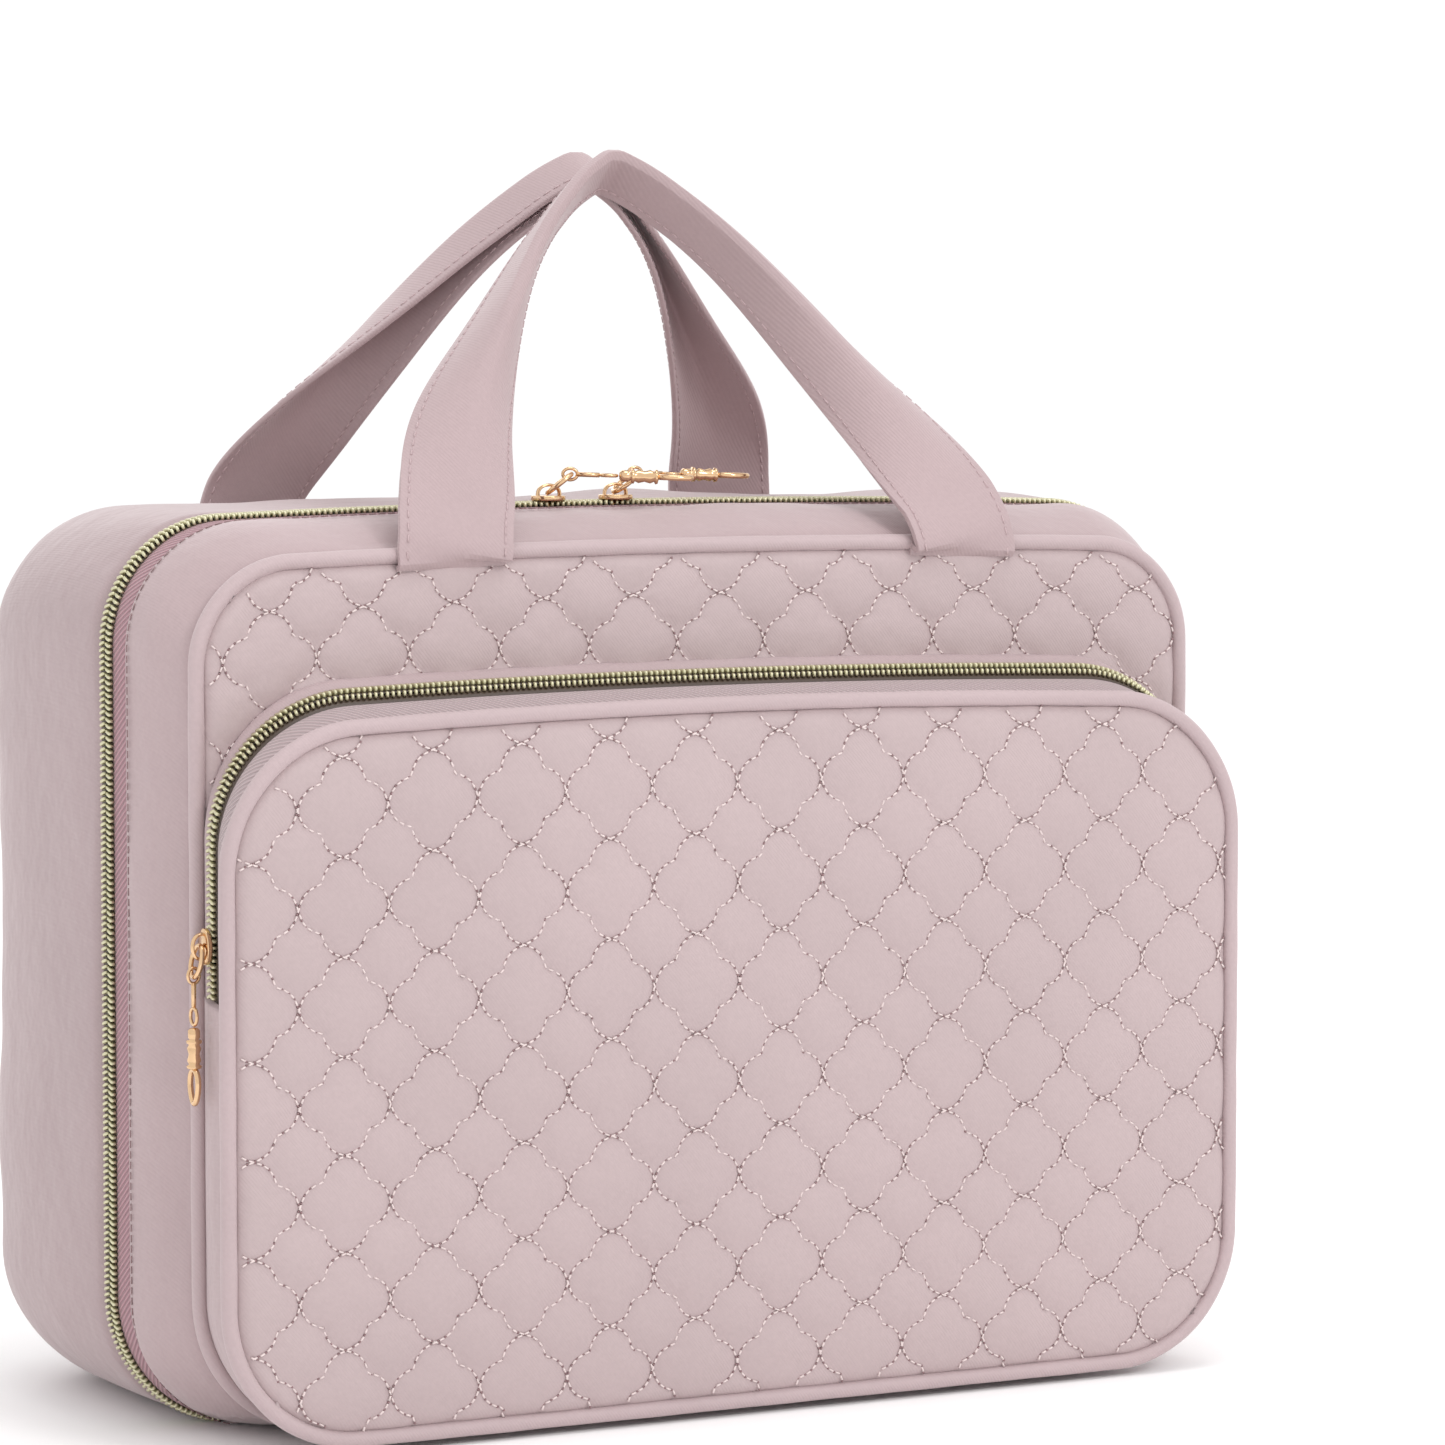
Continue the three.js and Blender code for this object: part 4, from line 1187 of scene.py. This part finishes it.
def pull(prefix, at_slider, flip, yaw, ring_turn, tail_turn, wide=8.0):
    """A slider with its ring, link and charm, each on its own body."""
    spin = Matrix.Rotation(math.pi if flip else 0, 4, "Z")
    mesh = slider_mesh(f"{prefix}_slider", at_slider @ spin, wide=wide)
    slider = finish(f"{prefix}_slider_metal", mesh, "rose_gold", f"{prefix}_slider_body")
    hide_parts(f"{prefix}_slider")
    mesh = bridge_mesh("bridge", at_slider @ spin)
    finish(f"{prefix}_slider_bridge", mesh, "rose_gold", f"{prefix}_slider_body")
    pivot = at_slider @ Matrix.Translation((0, 0, 3.4)) @ Matrix.Rotation(yaw, 4, "Z")
    ring_at = pivot @ Matrix.Rotation(ring_turn, 4, "Y")
    mesh = oval_wire(9, 7.4, 1.25, ring_at @ Matrix.Translation((3.5, 0, 0)), "ring")
    ring = finish(f"{prefix}_ring", mesh, "rose_gold", f"{prefix}_ring_body")
    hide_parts(f"{prefix}_pull_ring")
    tail = ring_at @ Matrix.Translation((7.35, 0, 0)) @ Matrix.Rotation(tail_turn, 4, "Y")
    side_on = Matrix.Rotation(math.pi / 2, 4, "X")
    link_parts = [
        oval_wire(4.6, 3.8, 0.85, tail @ Matrix.Translation((-0.3, 0, 0)) @ side_on, "hook", 28, 8),
        turned("pin", [(1.3, 0), (1.4, 0.62), (7.2, 0.62), (7.4, 0)], tail, 12),
        oval_wire(5, 5, 0.95, tail @ Matrix.Translation((9.6, 0, 0)), "eye", 32, 8),
    ]
    link = finish(f"{prefix}_link", joined(f"{prefix}_link", link_parts), "rose_gold", f"{prefix}_tail_body")
    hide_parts(f"{prefix}_pull_link")
    collar = turned("collar", [(12.2, 0), (12.3, 0.9), (12.9, 1.5), (14.6, 1.5), (15.2, 1.1), (15.3, 1.9),
                               (16.0, 1.9), (16.3, 1.3), (17.2, 1.75), (18.7, 1.35), (20.2, 1.75), (21.2, 1.3),
                               (21.5, 1.9), (22.1, 1.8), (22.6, 0)], tail)
    end = oval_wire(9.6, 6.4, 1.5, tail @ Matrix.Translation((26.6, 0, 0)), "charm_end", 40, 10, 0.18)
    mesh = joined(f"{prefix}_charm", [collar, end])
    charm = finish(f"{prefix}_charm", mesh, "rose_gold", f"{prefix}_tail_body")
    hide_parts(f"{prefix}_pull_charm")


def joined(name, meshes):
    """Several meshes as one."""
    bm = bmesh.new()
    for mesh in meshes:
        bm.from_mesh(mesh)
        bpy.data.meshes.remove(mesh)
    whole = bpy.data.meshes.new(name)
    bm.to_mesh(whole)
    bm.free()
    return whole


def all_pulls():
    top = Matrix.Translation((0, ZIP_Y, 227.6))
    for prefix, x, flip, yaw in (("left", -29, False, -24), ("right", -10, True, -6)):
        at_slider = Matrix.Translation((x, 0, 0)) @ top
        pull(prefix, at_slider, flip, math.radians(yaw), math.radians(-38), math.radians(40))
    side = Matrix.Translation((-139.9, POCKET_ZIP_Y, 124.5)) @ Matrix.Rotation(math.radians(-90), 4, "Y")
    pull("pocket", side, False, math.pi, math.radians(-12), math.radians(12), wide=6.6)


# ---------------------------------------------------------------- inside
def linings():
    """Satin linings in both halves and the pocket."""

    def back(u, v):
        y0, y1 = ZIP_Y + 6.5, 77.4
        depth = np.minimum(u / 0.7, 1)
        y = y0 + (y1 - y0) * depth
        inside = 3.8 * (1 - 0.3 * depth)
        points = body_point(y + 2.6 * depth, v)
        points[:, 1] = y
        out = sample(BODY_OUT, v)
        cap = np.clip((u - 0.7) / 0.3, 0, 1)
        dent = -inside + 0.5 * creases(points, 11.0, 1.0)
        points[:, 0] = (points[:, 0] + out[:, 0] * dent) * (1 - cap)
        points[:, 2] = 112 + (points[:, 2] + out[:, 1] * dent - 112) * (1 - cap)
        return points

    mesh = surface("satin_back_lining", 70, 300, back, (150, BODY_LENGTH), weld=True, flip=True)
    lining = finish("satin_back_lining", mesh, "satin_lining")
    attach(lining, "back_half")
    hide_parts("back_lining")
    thicken(lining, 0.3, 1.0)

    def front(u, v):
        depth = np.clip(1 - u / 0.5, 0, 1)
        cap = np.clip((u - 0.5) / 0.5, 0, 1)
        y = PANEL_Y + 3.6 + (ZIP_Y - 4.6 - PANEL_Y - 3.6) * depth
        points = body_point(y, v, -3.7)
        points[:, 0] *= 1 - cap
        points[:, 2] = 112 + (points[:, 2] - 112) * (1 - cap)
        points[:, 1] = y - 0.3 + 0.3 * creases(points, 13.0, 1.0) * cap
        return points

    mesh = surface("satin_lid_lining", 60, 300, front, (150, BODY_LENGTH), weld=True, flip=True)
    lid = finish("satin_lid_lining", mesh, "satin_lining")
    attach(lid, "front_half")
    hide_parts("front_lining")
    thicken(lid, 0.3, 1.0)

    for name, plane, size, inset, nodes in (
        ("pocket_back_satin", PANEL_Y - 3.1, POCKET_BACK, 3.4, ("pocket_back_lining",)),
        ("pocket_face_satin", POCKET_Y + 3.2, POCKET, 4.0, ("pocket_lining_lower", "pocket_lining_upper")),
    ):
        line = outline(size, inset, 400)[0]

        def disc(u, v, line=line, plane=plane):
            rim = sample(line, v)
            middle = np.array([0, 90.0])
            flat = middle + (rim - middle) * u[:, None]
            points = np.stack([flat[:, 0], np.full_like(u, plane), flat[:, 1]], 1)
            points[:, 1] += 0.25 * creases(points, 17.0, 1.0)
            return points

        piece = finish(name, surface(name, 40, 200, disc, (140, 600), weld=True), "satin_lining")
        thicken(piece, 0.3, 0.0)
        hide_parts(*nodes)
        if len(nodes) == 1:
            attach(piece, "front_half")
        else:
            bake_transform(piece)


def binding_mesh(name, size, y, wide=4.0, inset=0.0, thick=1.3):
    """A folded ribbon sewn over an edge, following an outline."""
    line, out, run = outline(size, inset + wide / 2, 500)

    def place(u, v):
        base, way = sample(line, v), sample(out, v)
        a = 2 * np.pi * u
        flat = np.sign(np.cos(a)) * np.abs(np.cos(a)) ** 0.6 * wide / 2
        x = base[:, 0] + way[:, 0] * flat
        z = base[:, 1] + way[:, 1] * flat
        return np.stack([x, y + thick / 2 * np.sin(a) * (1 + 0.12 * np.sin(v * 900)), z], 1)

    return surface(name, 12, 500, place, (2 * wide, run), weld=True)


MESH_SIZE = (137.0, 8.0, 213.0, 22.0, 28.0, 2.0)
MESH_Y = -40.0


def panel_slice(name, z0, z1, y, inset, across, along, wave=0.0):
    """A flat piece of cloth between two heights, cut to the mesh pocket's outline."""

    def place(u, v):
        z = z0 + (z1 - z0) * v
        half = MESH_SIZE[0] - inset
        rb, rt = MESH_SIZE[4] - inset, MESH_SIZE[3] - inset
        bottom, top = MESH_SIZE[1] + inset, MESH_SIZE[2] - inset
        low = np.clip(bottom + rb - z, 0, rb)
        high = np.clip(z - (top - rt), 0, rt)
        reach = half - (rb - np.sqrt(rb**2 - low**2)) - (rt - np.sqrt(rt**2 - high**2))
        x = (2 * u - 1) * reach
        return np.stack([x, y + wave * np.sin(x * 0.11) * np.sin(z * 0.06), z], 1)

    return surface(name, across, along, place, (2 * MESH_SIZE[0], z1 - z0))


def mesh_pocket():
    """The zipped mesh pocket inside the front half."""
    nets = (("lower_mesh", 12.2, 150, "mesh_lower"), ("upper_mesh", 178.2, 208.8, "mesh_upper"))
    for name, z0, z1, nodes in nets:
        mesh = panel_slice(name, z0, z1, MESH_Y, 4.2, 60, 30, 0.3)
        piece = finish(name, mesh, "knitted_mesh", "front_half")
        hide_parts(nodes)
    for name, z0, z1, node in (
        ("lower_satin_band", 150.2, 162, "mesh_lower_band"),
        ("upper_satin_band", 166.6, 178, "mesh_upper_band"),
    ):
        piece = finish(name, panel_slice(name, z0, z1, MESH_Y + 0.2, 4.2, 80, 6, 0.15), "satin_trim")
        thicken(piece, 0.9, 0.0)
        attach(piece, "front_half")
        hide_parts(node)
    teeth = []
    for n in range(170):
        x = -127.5 + n * 1.5
        for side in (-1, 1):
            centre = (x + 0.75 * (side > 0), MESH_Y + 0.3, 164.3 + side * 0.95)
            teeth.append((centre, (0.3 * side, 0, 1), (0, 1, 0), (2.1, 1.0, 1.4)))
    coil = finish("mesh_coil", scatter("mesh_coil", "tooth", teeth), "inner_coil", "front_half")
    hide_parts("mesh_zip_teeth")
    mesh = binding_mesh("satin_mesh_binding", MESH_SIZE, MESH_Y, 3.9)
    edge = finish("satin_mesh_binding", mesh, "satin_trim", "front_half")
    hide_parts("mesh_binding")
    for node, material in (("inner_slider", "gunmetal"), ("inner_pull", "gunmetal")):
        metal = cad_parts[node]
        metal.data.materials.clear()
        metal.data.materials.append(look(material))


def brush_pocket():
    """Five gathered slots for brushes, sewn to the back lining."""
    wall = 76.2

    def place(u, v):
        x = (u - 0.5) * 190
        share = (u * 5) % 1
        rise = 11 * np.clip(np.sin(np.pi * share), 0, 1) ** 0.55
        z = 40.3 + 91.4 * v
        pleat = 0.35 * np.sin(x * 2.4 + z * 0.02) * np.clip(np.sin(np.pi * share), 0, 1)
        gather = 1 - 0.18 * np.exp(-(((v - 0.93) / 0.05) ** 2)) - 0.1 * np.exp(-((v / 0.05) ** 2))
        return np.stack([x, wall - 0.6 - (rise + pleat) * gather, z], 1)

    mesh = surface("gathered_brush_slots", 300, 60, place, (240, 92))
    slots = finish("gathered_brush_slots", mesh, "satin_trim")
    thicken(slots, 0.7, 0.0)
    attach(slots, "back_half")
    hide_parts("brush_pocket")

    line = (96.0, 88.0, 192.0, 4.0, 22.0, 0.0)
    edge = finish("window_binding", binding_mesh("window_binding", line, 61.8, 3.2, 0.0, 1.4), "satin_trim",
                  "clear_flap")
    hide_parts("clear_window_binding")

    def pane(u, v):
        rim = sample(outline(line, 3.0, 300)[0], v)
        middle = np.array([0, 140.0])
        flat = middle + (rim - middle) * u[:, None]
        y = 61.8 + 0.35 * np.sin(flat[:, 0] * 0.05) * np.sin(flat[:, 1] * 0.07)
        return np.stack([flat[:, 0], y, flat[:, 1]], 1)

    mesh = surface("clear_pane", 30, 120, pane, (90, 400), weld=True)
    window = finish("clear_pane", mesh, "clear_film", "clear_flap")
    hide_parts("clear_window")

    def ledge(u, v):
        x = (2 * v - 1) * 96
        a = 2 * np.pi * u
        y = 69.3 + 6.2 * np.sign(np.cos(a)) * np.abs(np.cos(a)) ** 0.4
        z = 190.5 + 1.3 * np.sign(np.sin(a)) * np.abs(np.sin(a)) ** 0.6 + 0.15 * np.sin(x * 0.9)
        return np.stack([x, y, z], 1)

    mesh = surface("flap_strip", 16, 120, ledge, (24, 192), weld=True)
    strip = finish("flap_strip", mesh, "satin_trim", "back_half")
    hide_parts("flap_mount_strip")


def seam_binding():
    """Bias binding over the raw edge of the back half, seen when the bag is open."""

    def place(u, v):
        y = ZIP_Y + 7.2 + 7.6 * u
        points = body_point(y, v, -5.0)
        out = sample(BODY_OUT, v)
        lift = 0.35 * np.sin(np.pi * u)
        points[:, 0] -= out[:, 0] * lift
        points[:, 2] -= out[:, 1] * lift
        return points

    mesh = surface("bias_binding", 6, 400, place, (8, BODY_LENGTH), weld=True)
    binding = finish("bias_binding", mesh, "satin_trim")
    thicken(binding, 0.7, 0.0)
    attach(binding, "back_half")
    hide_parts("back_seam_binding")


# ---------------------------------------------------------------- stage
def area_light(name, where, size, power, aim=(0, 0, 0.12)):
    lamp = bpy.data.lights.new(name, "AREA")
    lamp.shape = "DISK"
    lamp.size = size
    lamp.energy = power
    holder = bpy.data.objects.new(name, lamp)
    holder.location = where
    holder.rotation_euler = (Vector(aim) - Vector(where)).to_track_quat("-Z", "Y").to_euler()
    bpy.context.scene.collection.objects.link(holder)


def set_stage():
    scene = bpy.context.scene
    scene.view_settings.view_transform = "Standard"
    camera_data = bpy.data.cameras.new("camera")
    camera_data.sensor_width = 36
    camera_data.lens = 140.58
    camera = bpy.data.objects.new("camera", camera_data)
    camera.location = (-0.66148, -1.31633, 0.27880)
    camera.rotation_euler = Euler((math.radians(90 - 4.24), 0, math.radians(-27.79)))
    scene.collection.objects.link(camera)
    scene.camera = camera
    world = bpy.data.worlds.new("studio")
    world.use_nodes = True
    backdrop = world.node_tree.nodes["Background"]
    backdrop.inputs["Color"].default_value = (1, 1, 1, 1)
    backdrop.inputs["Strength"].default_value = 1.03
    scene.world = world
    bm = bmesh.new()
    bmesh.ops.create_grid(bm, x_segments=1, y_segments=1, size=30)
    mesh = bpy.data.meshes.new("floor")
    bm.to_mesh(mesh)
    bm.free()
    floor = bpy.data.objects.new("floor", mesh)
    material, tree, shader = blank("matt_white_board")
    place = add(tree, "ShaderNodeTexCoord").outputs["Object"]
    grit = add(tree, "ShaderNodeTexNoise", {"Scale": 4.0}, Vector=place)
    tree.links.new(mixed(tree, grit.outputs["Fac"], (0.985, 0.985, 0.985, 1), (0.995, 0.995, 0.995, 1)),
                   shader.inputs["Base Color"])
    shader.inputs["Roughness"].default_value = 0.9
    mesh.materials.append(material)
    scene.collection.objects.link(floor)
    area_light("key", (0.5, -1.9, 1.5), 0.6, 11)
    area_light("top", (0.1, -0.2, 1.7), 0.8, 5)
    area_light("rear", (0.3, 1.7, 1.1), 1.0, 4)


# ---------------------------------------------------------------- operators
class BAG_OT_stage(bpy.types.Operator):
    """Set the floor, the lights and the camera"""

    bl_idname = "bag.stage"
    bl_label = "Stage"

    def execute(self, context):
        set_stage()
        return {"FINISHED"}


class BAG_OT_quilted_panels(bpy.types.Operator):
    """Make the two quilted panels with their stitching"""

    bl_idname = "bag.quilted_panels"
    bl_label = "Quilted Panels"

    def execute(self, context):
        quilted_front()
        quilted_pocket()
        return {"FINISHED"}


class BAG_OT_piping(bpy.types.Operator):
    """Lay the covered cord round both panels"""

    bl_idname = "bag.piping"
    bl_label = "Piping"

    def execute(self, context):
        front_piping()
        pocket_piping()
        return {"FINISHED"}


class BAG_OT_padded_body(bpy.types.Operator):
    """Make the padded back, the front's side, the pocket's side and the hinge"""

    bl_idname = "bag.padded_body"
    bl_label = "Padded Body"

    def execute(self, context):
        back_shell()
        front_gusset()
        pocket_sides()
        hinge_strip()
        return {"FINISHED"}


class BAG_OT_zips(bpy.types.Operator):
    """Set the teeth and tapes of both zips"""

    bl_idname = "bag.zips"
    bl_label = "Zips"

    def execute(self, context):
        main_zip()
        pocket_zip()
        return {"FINISHED"}


class BAG_OT_handles(bpy.types.Operator):
    """Fold and sew both handles"""

    bl_idname = "bag.handles"
    bl_label = "Handles"

    def execute(self, context):
        handle("front_folded_strap", "front_handle", FRONT_FOOT, 1, "front_handle_body")
        handle("back_folded_strap", "back_handle", BACK_FOOT, -1, "back_handle_body")
        return {"FINISHED"}


class BAG_OT_pulls(bpy.types.Operator):
    """Cast the sliders, rings, links and charms"""

    bl_idname = "bag.pulls"
    bl_label = "Sliders and Pulls"

    def execute(self, context):
        all_pulls()
        return {"FINISHED"}


class BAG_OT_linings(bpy.types.Operator):
    """Line both halves and the pocket with satin"""

    bl_idname = "bag.linings"
    bl_label = "Linings"

    def execute(self, context):
        linings()
        seam_binding()
        return {"FINISHED"}


class BAG_OT_inner_pockets(bpy.types.Operator):
    """Make the mesh pocket, the brush slots and the clear cover"""

    bl_idname = "bag.inner_pockets"
    bl_label = "Inner Pockets"

    def execute(self, context):
        mesh_pocket()
        brush_pocket()
        return {"FINISHED"}


class BAG_PT_sidebar(bpy.types.Panel):
    """Lists the bag's pieces and settings"""

    bl_label = "Make-up Bag"
    bl_idname = "BAG_PT_sidebar"
    bl_space_type = "VIEW_3D"
    bl_region_type = "UI"
    bl_category = "Make-up Bag"

    def draw(self, context):
        for group in (context.scene.bag_sizes, context.scene.bag_colours):
            for key in group.__annotations__:
                self.layout.prop(group, key)
        for step in STEPS:
            self.layout.operator(step.bl_idname)


STEPS = (
    BAG_OT_stage,
    BAG_OT_quilted_panels,
    BAG_OT_piping,
    BAG_OT_padded_body,
    BAG_OT_zips,
    BAG_OT_handles,
    BAG_OT_pulls,
    BAG_OT_linings,
    BAG_OT_inner_pockets,
)
CLASSES = (BagSizes, BagColours, *STEPS, BAG_PT_sidebar)


def register():
    for item in CLASSES:
        bpy.utils.register_class(item)
    bpy.types.Scene.bag_sizes = bpy.props.PointerProperty(type=BagSizes)
    bpy.types.Scene.bag_colours = bpy.props.PointerProperty(type=BagColours)


def unregister():
    del bpy.types.Scene.bag_colours
    del bpy.types.Scene.bag_sizes
    for item in reversed(CLASSES):
        bpy.utils.unregister_class(item)


def main():
    register()
    for step in STEPS:
        group, name = step.bl_idname.split(".")
        getattr(getattr(bpy.ops, group), name)()


if __name__ == "__main__":
    main()
